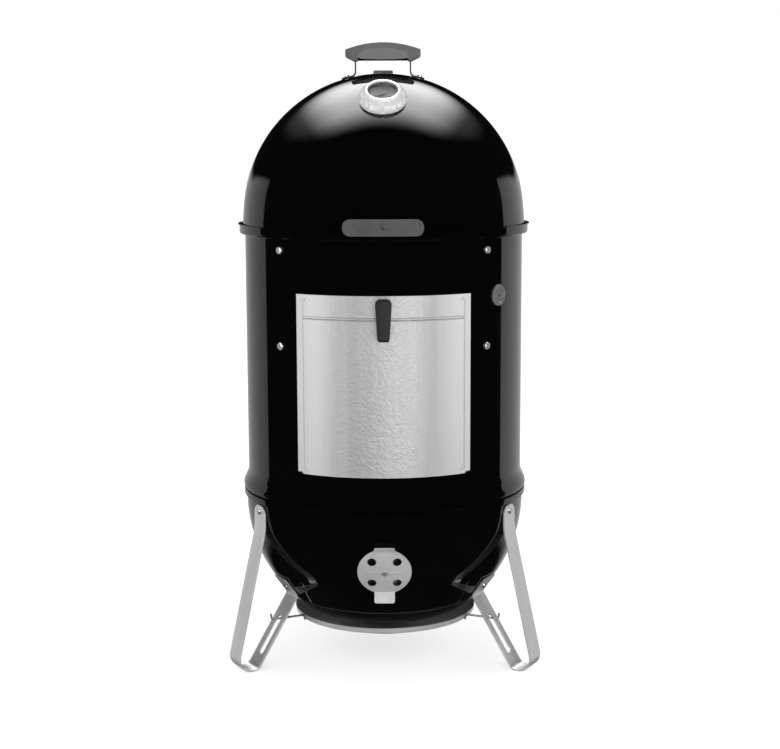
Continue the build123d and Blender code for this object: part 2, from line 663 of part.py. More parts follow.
def make_lid_handle_grip():
    """The upper part of the grip, with a pocket from below for the strap's bar."""
    shoulder = 1208.4
    heel_z = HANDLE_UNDERSIDE - 5.6
    arc = ThreePointArc((-HANDLE_HALF, shoulder), (0, HANDLE_CREST), (HANDLE_HALF, shoulder))
    half = [(HANDLE_HALF, shoulder), (HANDLE_HALF, 1194.5), (58, heel_z), (49, heel_z),
            (44.5, HANDLE_UNDERSIDE)]
    under = Polyline(*half, *[(-x, z) for x, z in reversed(half)])
    body = extrude(Plane.XZ * make_face(Curve() + [arc, under]), amount=HANDLE_DEPTH / 2, both=True)
    body = fillet(body.faces().sort_by(Axis.Z)[-1].edges().filter_by(Axis.Y, reverse=True), 6)
    pocket_half = STRAP_LEG_X + STRAP_SHEET / 2 + 0.35
    pocket_top = STRAP_BAR_Z + STRAP_SHEET / 2 + 0.35
    body -= Pos(0, 0, pocket_top - 20) * Box(2 * pocket_half, STRAP_WIDTH + 0.8, 40)
    for side in (-1, 1):
        body -= Pos(side * 30, 0, pocket_top) * Cylinder(2.4, 16)
    return body


def make_lid_handle_insert():
    """The ribbed lower part that closes the grip's pocket under the bar."""
    half = STRAP_LEG_X - STRAP_SHEET / 2 - 0.4
    low = HANDLE_UNDERSIDE
    high = STRAP_BAR_Z - STRAP_SHEET / 2 - 0.3
    align = (Align.CENTER, Align.CENTER, Align.MIN)
    body = Pos(0, 0, low) * Box(2 * half, STRAP_WIDTH, high - low, align=align)
    body = fillet(body.faces().sort_by(Axis.Z)[-1].edges().filter_by(Axis.Y), 3.5)
    for side in (-1, 1):
        body += Pos(side * (half - 3), 0, low - 5.8) * Box(6, STRAP_WIDTH, 8, align=align)
    for step in range(-6, 7):
        body += Pos(step * 6.4, 0, low - 1.2) * Box(2.6, STRAP_WIDTH, 2.4, align=align)
    for side in (-1, 1):
        body -= Pos(side * 30, 0, low) * Cylinder(2.6, 30)
        body -= Pos(side * 30, 0, low - 2) * Cylinder(4.6, 4, align=align)
    return body


def make_lid_handle_screws():
    screws = []
    for side in (-1, 1):
        head = Pos(side * 30, 0, HANDLE_UNDERSIDE + 0.2) * Cylinder(
            4.2, 1.6, align=(Align.CENTER, Align.CENTER, Align.MIN))
        shank = Pos(side * 30, 0, HANDLE_UNDERSIDE + 0.4) * Cylinder(
            2.3, 13.5, align=(Align.CENTER, Align.CENTER, Align.MIN))
        screws.append(head + shank)
    return group(screws)


def make_lid_handle_bolts():
    lift = STRAP_SHEET + 0.6
    bolts = []
    for side in (-1, 1):
        plane = handle_bolt_frame(side)
        start = tuple(plane.origin + plane.z_dir * lift)
        bolts.append(fastener(start, tuple(-plane.z_dir), 12, 5.5, 3.2))
    return group(bolts)


def make_lid_handle_nuts():
    nuts = []
    for side in (-1, 1):
        plane = handle_bolt_frame(side)
        start = tuple(plane.origin - plane.z_dir * (SHEET + 0.3))
        nuts.append(nut(start, tuple(-plane.z_dir)))
    return group(nuts)


def make_front_grip():
    """A curved bar in front of the rim with one boss that meets the lid's skirt."""
    low, high = GRIP_Z
    bar = sector(GRIP_INSIDE, GRIP_OUTSIDE, GRIP_HALF_ANGLE, low, high)
    end_edges = bar.edges().filter_by(Axis.Z, reverse=True).sort_by(Axis.X)
    bar = fillet([end_edges[0], end_edges[1], end_edges[-1], end_edges[-2]], GRIP_END_RADIUS)
    boss = Pos(0, -(GRIP_INSIDE + 281) / 2, 881) * Box(28, GRIP_INSIDE - 279, 15.6)
    bar += boss - Cylinder(skirt_radius(873.2) + 0.3, 3000)
    return bar - cylinder_along((0, -310, GRIP_SCREW_Z), (0, 1, 0), 2.5, 60)


def make_front_grip_screw():
    shank = cylinder_along((0, -GRIP_OUTSIDE, GRIP_SCREW_Z), (0, 1, 0), 2.5, 27)
    head = cylinder_along((0, -GRIP_OUTSIDE, GRIP_SCREW_Z), (0, -1, 0), 4.5, 2.2)
    return shank + fillet(head.faces().sort_by(Axis.Y)[0].edges(), 1.2)


def make_front_grip_nut():
    start = (0, -(skirt_radius(GRIP_SCREW_Z) - SHEET - 0.5), GRIP_SCREW_Z)
    body = hexagon_along(start, (0, 1, 0), 8, 4)
    return body - cylinder_along(start, (0, 1, 0), 2.5, 4)


def make_top_damper_rivet():
    return top_damper_frame() * damper_rivet(LID_RADIUS)


# ---------------------------------------------------------------- thermometer

def gauge_frame():
    return sphere_frame(LID_CENTRE_Z, LID_RADIUS, GAUGE_RISE, 0)


def gauge_disc(radius, low, high):
    return Pos(0, 0, low) * Cylinder(radius, high - low, align=(Align.CENTER, Align.CENTER, Align.MIN))


def make_thermometer_case():
    cup = gauge_disc(30, 0.3, 13.5) - gauge_disc(28.8, 1.5, 14)
    return gauge_frame() * (cup - gauge_disc(GAUGE_HOLE - 0.3, -1, 3))


def make_thermometer_stem():
    stem = gauge_disc(GAUGE_HOLE - 0.3, -12, 8) + gauge_disc(2.5, -75, -10)
    return gauge_frame() * stem


def make_thermometer_nut():
    body = extrude(Pos(0, 0, -7) * RegularPolygon(10, 6, major_radius=False), amount=5)
    return gauge_frame() * (body - gauge_disc(GAUGE_HOLE - 0.3, -8, -1))


def make_thermometer_dial():
    return gauge_frame() * (gauge_disc(28.5, 10.5, 11.3) - gauge_disc(1.6, 10, 12))


def make_thermometer_needle():
    """Pointer and its short pin, which turns in the dial's hole."""
    hand = Pos(-9, 0, 13.3) * Box(26, 1.6, 0.6)
    needle = hand + gauge_disc(3, 12.6, 14) + gauge_disc(1.55, 8.6, 13)
    return gauge_frame() * (Rot(0, 0, 38) * needle)


def make_thermometer_lens():
    return gauge_frame() * gauge_disc(29.2, 17.4, 19.2)


def make_thermometer_bezel():
    """The bright cone round the dial, with a lip in front of the lens."""
    outline = Polyline((45.5, -3.2), (45.5, -1.6), (35, 16.5), (33, 22), (28, 22), (28, 19.5),
                       (30.6, 19.5), (30.6, 14), (32.6, 14), (43.6, -3.2), close=True)
    return gauge_frame() * revolve(Plane.XZ * make_face(outline), axis=Axis.Z)


# ---------------------------------------------------------------- the whole smoker

def main():
    os.makedirs("parts", exist_ok=True)
    write(make_bowl_shell(), "bowl_shell")
    for number, azimuth in enumerate(LEG_AZIMUTHS, 1):
        write(make_leg(azimuth), "leg_%d" % number)
        write(make_charcoal_bracket(azimuth), "charcoal_bracket_%d" % number)
        write(make_heat_shield_wire(azimuth), "heat_shield_wire_%d" % number)
    write(make_leg_bolts(), "leg_bolts")
    write(make_leg_nuts(), "leg_nuts")
    write(make_heat_shield(), "heat_shield")
    write(make_damper_rivets(), "damper_rivets")
    for number, azimuth in enumerate(DAMPER_AZIMUTHS, 1):
        write(bowl_damper_frame(azimuth) * damper(BOWL_RADIUS, 22.0), "bowl_damper_%d" % number)
    write(rod_grate(FUEL_GRATE_RADIUS, FUEL_LEDGE_Z + 1 + REST_GAP, 25.0, 6.0, False),
          "charcoal_grate")
    write(make_charcoal_ring(), "charcoal_ring")
    write(make_center_shell(), "center_shell")
    for number, azimuth in enumerate(BRACKET_AZIMUTHS, 1):
        write(make_grate_bracket(azimuth), "grate_bracket_%d" % number)
    write(make_bracket_bolts(), "bracket_bolts")
    write(make_bracket_nuts(), "bracket_nuts")
    write(make_probe_grommet(), "probe_grommet")
    write(make_water_pan(), "water_pan")
    write(rod_grate(LOWER_GRATE_RADIUS, LOWER_TREAD + 1 + REST_GAP, GRATE_PITCH, GRATE_ROD, True),
          "lower_grate")
    write(rod_grate(UPPER_GRATE_RADIUS, UPPER_TREAD + 1 + REST_GAP, GRATE_PITCH, GRATE_ROD, True),
          "upper_grate")
    write(make_door_panel(), "door_panel")
    write(make_door_hook(-1), "door_hook_left")
    write(make_door_hook(1), "door_hook_right")
    write(make_door_rivets(), "door_rivets")
    write(make_latch_handle(), "latch_handle")
    write(make_latch_shaft(), "latch_shaft")
    write(make_latch_tongue(), "latch_tongue")
    write(make_latch_nut(), "latch_nut")
    write(make_lid_shell(), "lid_shell")
    write(make_lid_handle_bracket(), "lid_handle_bracket")
    write(make_lid_handle_grip(), "lid_handle_grip")
    write(make_lid_handle_insert(), "lid_handle_insert")
    write(make_lid_handle_screws(), "lid_handle_screws")
    write(make_lid_handle_bolts(), "lid_handle_bolts")
    write(make_lid_handle_nuts(), "lid_handle_nuts")
    write(make_front_grip(), "front_grip")
    write(make_front_grip_screw(), "front_grip_screw")
    write(make_front_grip_nut(), "front_grip_nut")
    write(top_damper_frame() * damper(LID_RADIUS, 16.0), "top_damper")
    write(make_top_damper_rivet(), "top_damper_rivet")
    write(make_thermometer_case(), "thermometer_case")
    write(make_thermometer_stem(), "thermometer_stem")
    write(make_thermometer_nut(), "thermometer_nut")
    write(make_thermometer_dial(), "thermometer_dial")
    write(make_thermometer_needle(), "thermometer_needle")
    write(make_thermometer_lens(), "thermometer_lens")
    write(make_thermometer_bezel(), "thermometer_bezel")


main()
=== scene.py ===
import math

import bmesh
import bpy
import numpy as np
from mathutils import Matrix, Vector


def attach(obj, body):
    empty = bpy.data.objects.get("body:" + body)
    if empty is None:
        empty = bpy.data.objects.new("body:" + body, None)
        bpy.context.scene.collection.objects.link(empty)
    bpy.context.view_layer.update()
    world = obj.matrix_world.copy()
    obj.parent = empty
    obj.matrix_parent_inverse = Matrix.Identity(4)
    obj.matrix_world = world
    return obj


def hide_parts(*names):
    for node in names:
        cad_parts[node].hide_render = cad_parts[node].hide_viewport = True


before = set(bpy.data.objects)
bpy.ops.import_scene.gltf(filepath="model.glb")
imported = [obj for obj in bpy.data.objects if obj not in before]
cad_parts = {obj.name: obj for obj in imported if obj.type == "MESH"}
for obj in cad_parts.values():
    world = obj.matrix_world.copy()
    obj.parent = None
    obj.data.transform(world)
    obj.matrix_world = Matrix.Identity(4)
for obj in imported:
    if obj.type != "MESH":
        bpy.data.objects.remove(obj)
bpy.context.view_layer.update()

# ------------------------------------------------------------------ bowl
# The fuel bowl: one deep-drawn steel sheet with a folded rim, dipped in black porcelain
# enamel and fired. Four holes under each of the three vent discs let the air in.

MM = 0.001
SHEET = 1.5
BOWL_RADIUS = 279.5
BOWL_CENTRE_Z = 323.4
BOWL_TURN = 50.0
BOWL_BOTTOM_RADIUS = 140.0
BOWL_RIM = (284.2, 343.0, 331.0)
DAMPER_DROP = 20.9
DAMPER_AZIMUTHS = (0.0, 120.0, 240.0)
VENT_HOLE = 8.5
VENT_CIRCLE = 34.0


def arc(centre, radius, start, end, count):
    """Points at equal angles from start to end degrees on a circle in radius and height."""
    angle = np.radians(np.linspace(start, end, count))
    return np.stack([centre[0] + radius * np.cos(angle), centre[1] + radius * np.sin(angle)], 1)


def rounded(points, radii, count=9):
    """A line through points with each inner corner replaced by a circular arc that touches both
    of its runs: the arc's middle is on the corner's bisector at radius / sin(half the angle)."""
    points = [np.array(point, float) for point in points]
    runs = [points[:1]]
    for before, corner, after, radius in zip(points, points[1:], points[2:], radii):
        to_a = (before - corner) / np.linalg.norm(before - corner)
        to_b = (after - corner) / np.linalg.norm(after - corner)
        half = math.acos(float(np.clip(to_a @ to_b, -1, 1))) / 2
        middle = corner + (to_a + to_b) / np.linalg.norm(to_a + to_b) * radius / math.sin(half)
        first = corner + to_a * radius / math.tan(half) - middle
        last = corner + to_b * radius / math.tan(half) - middle
        turn = math.atan2(first[0] * last[1] - first[1] * last[0], first @ last)
        angle = np.linspace(0, turn, count)[:, None]
        side = np.array([-first[1], first[0]])
        runs.append(middle + first * np.cos(angle) + side * np.sin(angle))
    runs.append(points[-1:])
    return np.concatenate(runs)


def divided(line, step):
    """The same line with extra points, so that no run is longer than the step."""
    runs = [a + (b - a) * np.arange(n)[:, None] / n
            for a, b, n in ((a, b, max(1, math.ceil(np.linalg.norm(b - a) / step)))
                            for a, b in zip(line, line[1:]))]
    return np.concatenate(runs + [line[-1:]])


def wall(line, thickness=SHEET):
    """The closed outline of a sheet: the middle line moved out by half the thickness along its
    normal, then back along the other side. The normal is the tangent turned by a right angle."""
    tangent = np.gradient(line, axis=0)
    tangent /= np.linalg.norm(tangent, axis=1, keepdims=True)
    normal = np.stack([tangent[:, 1], -tangent[:, 0]], 1)
    return np.concatenate([line + normal * thickness / 2, (line - normal * thickness / 2)[::-1]])


def sphere_frame(centre_z, radius, rise, azimuth):
    """Origin, right, up and out of a local frame on a sphere, at a rise above level."""
    a, e = math.radians(azimuth), math.radians(rise)
    out = np.array([math.cos(e) * math.sin(a), -math.cos(e) * math.cos(a), math.sin(e)])
    right = np.array([math.cos(a), math.sin(a), 0.0])
    return np.array([0, 0, centre_z]) + radius * out, right, np.cross(out, right), out


def placed(points, place):
    """Points of a local frame in the row frame: origin + x right + y up + z out."""
    origin, right, up, out = place
    return origin + points[:, :1] * right + points[:, 1:2] * up + points[:, 2:] * out


def lathe(outline, steps=256, place=None, swell=None):
    """A closed outline of radius and height turned about the axis: x = r sin a, y = -r cos a,
    z = height, with r multiplied by swell(angle, height) where that is given. The last column
    of faces joins the first, and points on the axis become one pole."""
    angle = np.arange(steps) * 2 * math.pi / steps
    r, z = np.meshgrid(outline[:, 0], angle, indexing="ij")[0], outline[:, 1:]
    if swell:
        r = r * swell(angle[None, :], z)
    points = np.stack([r * np.sin(angle), -r * np.cos(angle), np.broadcast_to(z, r.shape)], 2)
    i, j = np.meshgrid(np.arange(len(outline)), np.arange(steps), indexing="ij")
    i2, j2 = (i + 1) % len(outline), (j + 1) % steps
    faces = np.stack([i * steps + j, i * steps + j2, i2 * steps + j2, i2 * steps + j], 2)
    on_axis = outline[:, 0] < 1e-6
    faces = faces[~(on_axis & np.roll(on_axis, -1))]
    points = points.reshape(-1, 3)
    return (placed(points, place) if place else points), faces.reshape(-1, 4)


# The parts that each group of soft lights reaches.
lit = {"metal": bpy.data.collections.new("metal_parts"),
       "front": bpy.data.collections.new("front_parts")}


def make_mesh(name, points, faces):
    """A mesh in metres from points in millimetres, its coincident points merged."""
    mesh = bpy.data.meshes.new(name)
    mesh.from_pydata((points * MM).tolist(), [], [list(face) for face in faces])
    work = bmesh.new()
    work.from_mesh(mesh)
    bmesh.ops.remove_doubles(work, verts=work.verts, dist=1e-7)
    work.to_mesh(mesh)
    work.free()
    return mesh


def add_piece(name, mesh, body, nodes, material, sharp=35.0, light="metal"):
    """Put a finished mesh in the scene as a piece that rides on a body and stands for nodes.
    Light names the group of soft lights that reach it, if any."""
    mesh.shade_smooth()
    mesh.set_sharp_from_angle(angle=math.radians(sharp))
    mesh.materials.clear()
    mesh.materials.append(material)
    piece = bpy.data.objects.new(name, mesh)
    bpy.context.scene.collection.objects.link(piece)
    if light:
        lit[light].objects.link(piece)
    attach(piece, body)
    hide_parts(*nodes)
    return piece


def cut(mesh, cutters):
    """The mesh with closed cutter meshes taken out of it by one exact Boolean."""
    whole = bpy.data.objects.new("whole", mesh)
    tool = bpy.data.objects.new("tool", cutters)
    bpy.context.scene.collection.objects.link(whole)
    bpy.context.scene.collection.objects.link(tool)
    step = whole.modifiers.new("cut", "BOOLEAN")
    step.object, step.operation, step.solver = tool, "DIFFERENCE", "EXACT"
    result = bpy.data.meshes.new_from_object(
        whole.evaluated_get(bpy.context.evaluated_depsgraph_get()))
    bpy.data.objects.remove(whole)
    bpy.data.objects.remove(tool)
    return result


def plugs(name, rods):
    """Round rods as one cutter mesh. A rod is its local frame, x, y, radius, and reach."""
    points, faces, count = [], [], 0
    for place, x, y, radius, reach in rods:
        outline = np.array([(0, -reach), (radius, -reach), (radius, reach), (0, reach)], float)
        rod_points, rod_faces = lathe(outline, 48)
        points.append(placed(rod_points + (x, y, 0), place))
        faces.append(rod_faces + count)
        count += len(rod_points)
    return make_mesh(name, np.concatenate(points), np.concatenate(faces))


def vent_rods(place):
    """The four vent holes that a disc covers."""
    angles = np.radians([45, 135, 225, 315])
    return [(place, VENT_CIRCLE * math.cos(a), VENT_CIRCLE * math.sin(a), VENT_HOLE, 12)
            for a in angles]


def add_node(tree, kind, inputs, **settings):
    """Add a shader node, set its properties, and link or set its inputs by name or number."""
    made = tree.nodes.new(kind)
    for key, value in settings.items():
        setattr(made, key, value)
    for key, value in inputs.items():
        if isinstance(value, bpy.types.NodeSocket):
            tree.links.new(value, made.inputs[key])
        else:
            made.inputs[key].default_value = value
    return made


def new_group(name, inputs, outputs):
    """An empty shader node group with named inputs and outputs: (tree, input, output nodes)."""
    tree = bpy.data.node_groups.new(name, "ShaderNodeTree")
    for socket, kind, value in inputs:
        made = tree.interface.new_socket(socket, in_out="INPUT", socket_type=kind)
        if value is not None:
            made.default_value = value
    for socket, kind in outputs:
        tree.interface.new_socket(socket, in_out="OUTPUT", socket_type=kind)
    return tree, tree.nodes.new("NodeGroupInput").outputs, tree.nodes.new("NodeGroupOutput")


def make_mottle():
    """Slow change over a surface: noise at one scale, stretched to run from 0 to 1."""
    tree, given, out = new_group(
        "mottle", [("Vector", "NodeSocketVector", None), ("Scale", "NodeSocketFloat", 20.0)],
        [("Value", "NodeSocketFloat")])
    noise = add_node(tree, "ShaderNodeTexNoise",
                     {"Vector": given["Vector"], "Scale": given["Scale"], "Detail": 4.0,
                      "Roughness": 0.55})
    spread = add_node(tree, "ShaderNodeMapRange",
                      {"Value": noise.outputs["Fac"], "From Min": 0.34, "From Max": 0.66})
    tree.links.new(spread.outputs[0], out.inputs["Value"])
    return tree


def make_grain():
    """Fine relief: noise at one scale as a bump of a height in metres."""
    tree, given, out = new_group(
        "grain", [("Vector", "NodeSocketVector", None), ("Scale", "NodeSocketFloat", 500.0),
                  ("Height", "NodeSocketFloat", 0.00002)],
        [("Normal", "NodeSocketVector")])
    noise = add_node(tree, "ShaderNodeTexNoise",
                     {"Vector": given["Vector"], "Scale": given["Scale"], "Detail": 3.0})
    bump = add_node(tree, "ShaderNodeBump",
                    {"Height": noise.outputs["Fac"], "Distance": given["Height"]})
    tree.links.new(bump.outputs[0], out.inputs["Normal"])
    return tree


mottle = make_mottle()
grain = make_grain()


def plain_finish(name, dark, light, rough, metallic=0.0, ior=1.5, spots=25.0, grain_scale=600.0,
                 grain_height=0.00002, stretch=(1, 1, 1), coat=0.0, coat_rough=0.1):
    """A finish that drifts between two tones and two roughness values, with fine relief. Stretch
    scales the pattern's axes, so that a small number draws it out into lines along that axis."""
    material = bpy.data.materials.new(name)
    material.use_nodes = True
    tree = material.node_tree
    shader = tree.nodes["Principled BSDF"]
    shader.inputs["Metallic"].default_value = metallic
    shader.inputs["IOR"].default_value = ior
    shader.inputs["Coat Weight"].default_value = coat
    shader.inputs["Coat Roughness"].default_value = coat_rough
    where = add_node(tree, "ShaderNodeMapping",
                     {"Vector": tree.nodes.new("ShaderNodeTexCoord").outputs["Object"],
                      "Scale": stretch}).outputs[0]
    drift = add_node(tree, "ShaderNodeGroup", {}, node_tree=mottle)
    tree.links.new(where, drift.inputs["Vector"])
    drift.inputs["Scale"].default_value = spots
    tone = add_node(tree, "ShaderNodeMix", {0: drift.outputs[0], 6: (*dark, 1), 7: (*light, 1)},
                    data_type="RGBA")
    tree.links.new(tone.outputs[2], shader.inputs["Base Color"])
    gloss = add_node(tree, "ShaderNodeMapRange",
                     {"Value": drift.outputs[0], "To Min": rough[0], "To Max": rough[1]})
    tree.links.new(gloss.outputs[0], shader.inputs["Roughness"])
    relief = add_node(tree, "ShaderNodeGroup", {}, node_tree=grain)
    tree.links.new(where, relief.inputs["Vector"])
    relief.inputs["Scale"].default_value = grain_scale
    relief.inputs["Height"].default_value = grain_height
    tree.links.new(relief.outputs[0], shader.inputs["Normal"])
    return material


enamel = plain_finish("black_enamel", (0.0008, 0.0008, 0.0007), (0.0014, 0.0013, 0.0012),
                      (0.035, 0.075), spots=9.0, grain_scale=75.0, grain_height=0.000012)

bowl_middle = BOWL_RADIUS - SHEET / 2
bottom_reach = bowl_middle - BOWL_BOTTOM_RADIUS
bottom_centre = (bottom_reach * math.cos(math.radians(BOWL_TURN)),
                 BOWL_CENTRE_Z - bottom_reach * math.sin(math.radians(BOWL_TURN)))
rim_radius, rim_top, rim_low = BOWL_RIM
bowl_line = np.concatenate([
    [(0.0, bottom_centre[1] - BOWL_BOTTOM_RADIUS)],
    arc(bottom_centre, BOWL_BOTTOM_RADIUS, -90, -BOWL_TURN, 18),
    arc((0, BOWL_CENTRE_Z), bowl_middle, -BOWL_TURN, -0.01, 48)[1:],
    rounded([(bowl_middle, BOWL_CENTRE_Z), (bowl_middle, rim_top), (rim_radius, rim_top),
             (rim_radius, rim_low)], [2.5, 2.5])])
bowl_dampers = [sphere_frame(BOWL_CENTRE_Z, BOWL_RADIUS, -DAMPER_DROP, a)
                for a in DAMPER_AZIMUTHS]
bowl_mesh = cut(make_mesh("bowl", *lathe(wall(divided(bowl_line, 9.0)))),
                plugs("bowl_vents", [rod for place in bowl_dampers for rod in vent_rods(place)]))
add_piece("bowl_enamel_shell", bowl_mesh, "bowl", ["bowl_shell"], enamel,
          light=None)

# ------------------------------------------------------------------ vent discs
# Aluminium discs stamped from sheet, with two bent tabs to push and a shallow pressed cross.
# Each turns on one rivet through the middle.


def refined(name, node, body, material, bevel=0.0, sharp=32.0, place=None,
            light="metal"):
    """A copy of a CAD node with its loose triangles merged, flat faces joined and its edges
    broken by a small bevel, as a press or a mould leaves them. Where a local frame is given, the
    points' x and y in it, divided by 100 mm, become the UV map."""
    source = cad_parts[node].data
    work = bmesh.new()
    work.from_mesh(source)
    bmesh.ops.remove_doubles(work, verts=work.verts, dist=2e-6)
    bmesh.ops.dissolve_limit(work, angle_limit=math.radians(0.4), verts=work.verts,
                             edges=work.edges)
    mesh = bpy.data.meshes.new(name)
    work.to_mesh(mesh)
    work.free()
    for attribute in [a.name for a in mesh.uv_layers]:
        mesh.uv_layers.remove(mesh.uv_layers[attribute])
    piece = add_piece(name, mesh, body, [node], material, sharp, light)
    if bevel:
        edge = piece.modifiers.new("edge", "BEVEL")
        edge.width, edge.segments, edge.limit_method = bevel * MM, 2, "ANGLE"
        edge.angle_limit = math.radians(38)
        edge.harden_normals = True
        edge.use_clamp_overlap = True
    if place:
        points = np.empty(len(mesh.vertices) * 3)
        mesh.vertices.foreach_get("co", points)
        origin, right, up, _ = place
        local = points.reshape(-1, 3) / MM - origin
        corners = np.empty(len(mesh.loops), int)
        mesh.loops.foreach_get("vertex_index", corners)
        flat = np.stack([local @ right, local @ up], 1)[corners] / 100.0
        mesh.uv_layers.new(name="face").data.foreach_set("uv", flat.ravel())
    return piece


def make_pressed_cross():
    """Height of two shallow ribs that cross at the middle of a UV map: near 1 on a line
    2.4 mm wide along u or v, and 0 away from it or more than 30 mm out."""
    tree, given, out = new_group("pressed_cross", [("UV", "NodeSocketVector", None)],
                                 [("Height", "NodeSocketFloat")])
    parts = add_node(tree, "ShaderNodeSeparateXYZ", {0: given["UV"]}).outputs

    def rib(across, along):
        near = add_node(tree, "ShaderNodeMapRange",
                        {"Value": add_node(tree, "ShaderNodeMath", {0: across},
                                           operation="ABSOLUTE").outputs[0],
                         "From Min": 0.022, "From Max": 0.008},
                        interpolation_type="SMOOTHSTEP").outputs[0]
        inside = add_node(tree, "ShaderNodeMapRange",
                          {"Value": add_node(tree, "ShaderNodeMath", {0: along},
                                             operation="ABSOLUTE").outputs[0],
                           "From Min": 0.36, "From Max": 0.28},
                          interpolation_type="SMOOTHSTEP").outputs[0]
        return add_node(tree, "ShaderNodeMath", {0: near, 1: inside},
                        operation="MULTIPLY").outputs[0]

    both = add_node(tree, "ShaderNodeMath", {0: rib(parts[0], parts[1]), 1: rib(parts[1], parts[0])},
                    operation="MAXIMUM")
    tree.links.new(both.outputs[0], out.inputs[0])
    return tree


damper_metal = plain_finish("damper_aluminium", (0.32, 0.32, 0.316), (0.40, 0.40, 0.396),
                            (0.42, 0.54), metallic=0.45, spots=14.0, grain_scale=900.0,
                            grain_height=0.00001)
cross_tree = damper_metal.node_tree
cross = add_node(cross_tree, "ShaderNodeGroup", {}, node_tree=make_pressed_cross())
cross_tree.links.new(cross_tree.nodes.new("ShaderNodeTexCoord").outputs["UV"], cross.inputs[0])
fine = next(n for n in cross_tree.nodes if n.type == "GROUP" and n.node_tree == grain)
cross_bump = add_node(cross_tree, "ShaderNodeBump",
                      {"Height": cross.outputs[0], "Distance": 0.0006, "Normal": fine.outputs[0]})
cross_tree.links.new(cross_bump.outputs[0],
                     cross_tree.nodes["Principled BSDF"].inputs["Normal"])
rivet_metal = plain_finish("rivet_aluminium", (0.60, 0.60, 0.59), (0.72, 0.72, 0.71), (0.25, 0.40),
                           metallic=0.9, spots=200.0)
for number, place in enumerate(bowl_dampers, 1):
    refined("bowl_vent_disc_%d" % number, "bowl_damper_%d" % number, "bowl_vent_%d" % number,
            damper_metal, 0.35, place=place)
refined("bowl_vent_rivets", "damper_rivets", "bowl", rivet_metal)

# ------------------------------------------------------------------ legs
# Three aluminium straps, each bent into a long narrow loop and bolted to the bowl at both ends.
# The inner arm has a long slot for the heat shield's wire and a small hole for a peg.


strap_metal = plain_finish("strap_aluminium", (0.62, 0.615, 0.61), (0.74, 0.735, 0.73),
                           (0.30, 0.46), metallic=0.80, spots=3.0, grain_scale=30.0,
                           grain_height=0.00012, stretch=(8, 8, 0.4))
bolt_metal = plain_finish("fastener_steel", (0.52, 0.52, 0.51), (0.70, 0.70, 0.69), (0.18, 0.34),
                          metallic=1.0, spots=260.0)
for number in (1, 2, 3):
    refined("leg_strap_%d" % number, "leg_%d" % number, "bowl", strap_metal,
            0.5)
refined("leg_bolt_heads", "leg_bolts", "bowl", bolt_metal)


def finish_nodes(material, *nodes, light="metal"):
    """Give CAD nodes that stay as they are a finish of their own."""
    for node in nodes:
        mesh_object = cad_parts[node]
        for slot in mesh_object.material_slots:
            slot.material = material
        lit[light].objects.link(mesh_object)


finish_nodes(bolt_metal, "leg_nuts")

# ------------------------------------------------------------------ heat shield
# A shallow spun aluminium dish under the bowl that keeps its heat off the ground. Three zinc
# plated wires hang it from the slots in the legs.

SHIELD_RADIUS, SHIELD_TOP, SHIELD_BASE = 183.3, 89.4, 52.4
shield_metal = plain_finish("shield_aluminium", (0.46, 0.46, 0.455), (0.56, 0.56, 0.555),
                            (0.28, 0.42), metallic=0.6, spots=6.0, grain_scale=400.0,
                            grain_height=0.00002, stretch=(1, 1, 9))
wire_metal = plain_finish("wire_steel", (0.55, 0.55, 0.54), (0.72, 0.72, 0.71), (0.22, 0.36),
                          metallic=1.0, spots=150.0)
shield_line = divided(rounded([(0, SHIELD_BASE), (100, SHIELD_BASE), (SHIELD_RADIUS - 1, 80),
                               (SHIELD_RADIUS, SHIELD_TOP)], [25, 4]), 7.0)
add_piece("heat_shield_dish", make_mesh("heat_shield_dish", *lathe(wall(shield_line), 192)),
          "bowl", ["heat_shield"], shield_metal)
for number in (1, 2, 3):
    refined("shield_wire_%d" % number, "heat_shield_wire_%d" % number, "bowl",
            wire_metal, sharp=60.0)

# ------------------------------------------------------------------ fuel grate and ring
# Inside the bowl, three steel ledges carry a welded rod grate, and a perforated sheet ring
# stands on it to hold the charcoal.

ledge_metal = plain_finish("bracket_steel", (0.20, 0.20, 0.20), (0.33, 0.33, 0.32), (0.38, 0.55),
                           metallic=0.9, spots=40.0)
iron_metal = plain_finish("grate_iron", (0.10, 0.095, 0.09), (0.22, 0.21, 0.20), (0.45, 0.65),
                          metallic=0.9, spots=55.0)
ring_metal = plain_finish("ring_steel", (0.30, 0.30, 0.295), (0.45, 0.45, 0.44), (0.30, 0.45),
                          metallic=0.95, spots=12.0, stretch=(1, 1, 0.2))
finish_nodes(ledge_metal, "charcoal_bracket_1", "charcoal_bracket_2", "charcoal_bracket_3")
refined("fuel_grate_rods", "charcoal_grate", "fuel_grate", iron_metal, sharp=50.0)
refined("fuel_ring_wall", "charcoal_ring", "fuel_ring", ring_metal, sharp=40.0)

# ------------------------------------------------------------------ centre section
# The smoking chamber: a rolled and welded steel cylinder with its ends flared and folded, in
# the same black enamel. It drops into the bowl, and its upper rim carries the lid.

BODY_RADIUS = 275.5
CENTRE_LINE = [(274.5, 322.0), (274.5, 344.9), (284.75, 344.9), (284.75, 354.0),
               (BODY_RADIUS - SHEET / 2, 376.0), (BODY_RADIUS - SHEET / 2, 852.6),
               (285.75, 852.6), (285.75, 870.7), (289.3, 870.7)]
CENTRE_BENDS = [3, 4, 20, 40, 3, 3.5, 1.5]
DOORWAY = (34.0, 425.0, 738.0)
DOORWAY_OUTSIDE, DOORWAY_INSIDE = 300, 262
PROBE_HOLE = 12
GROMMET_AZIMUTH, GROMMET_Z = 52.1, 741.7


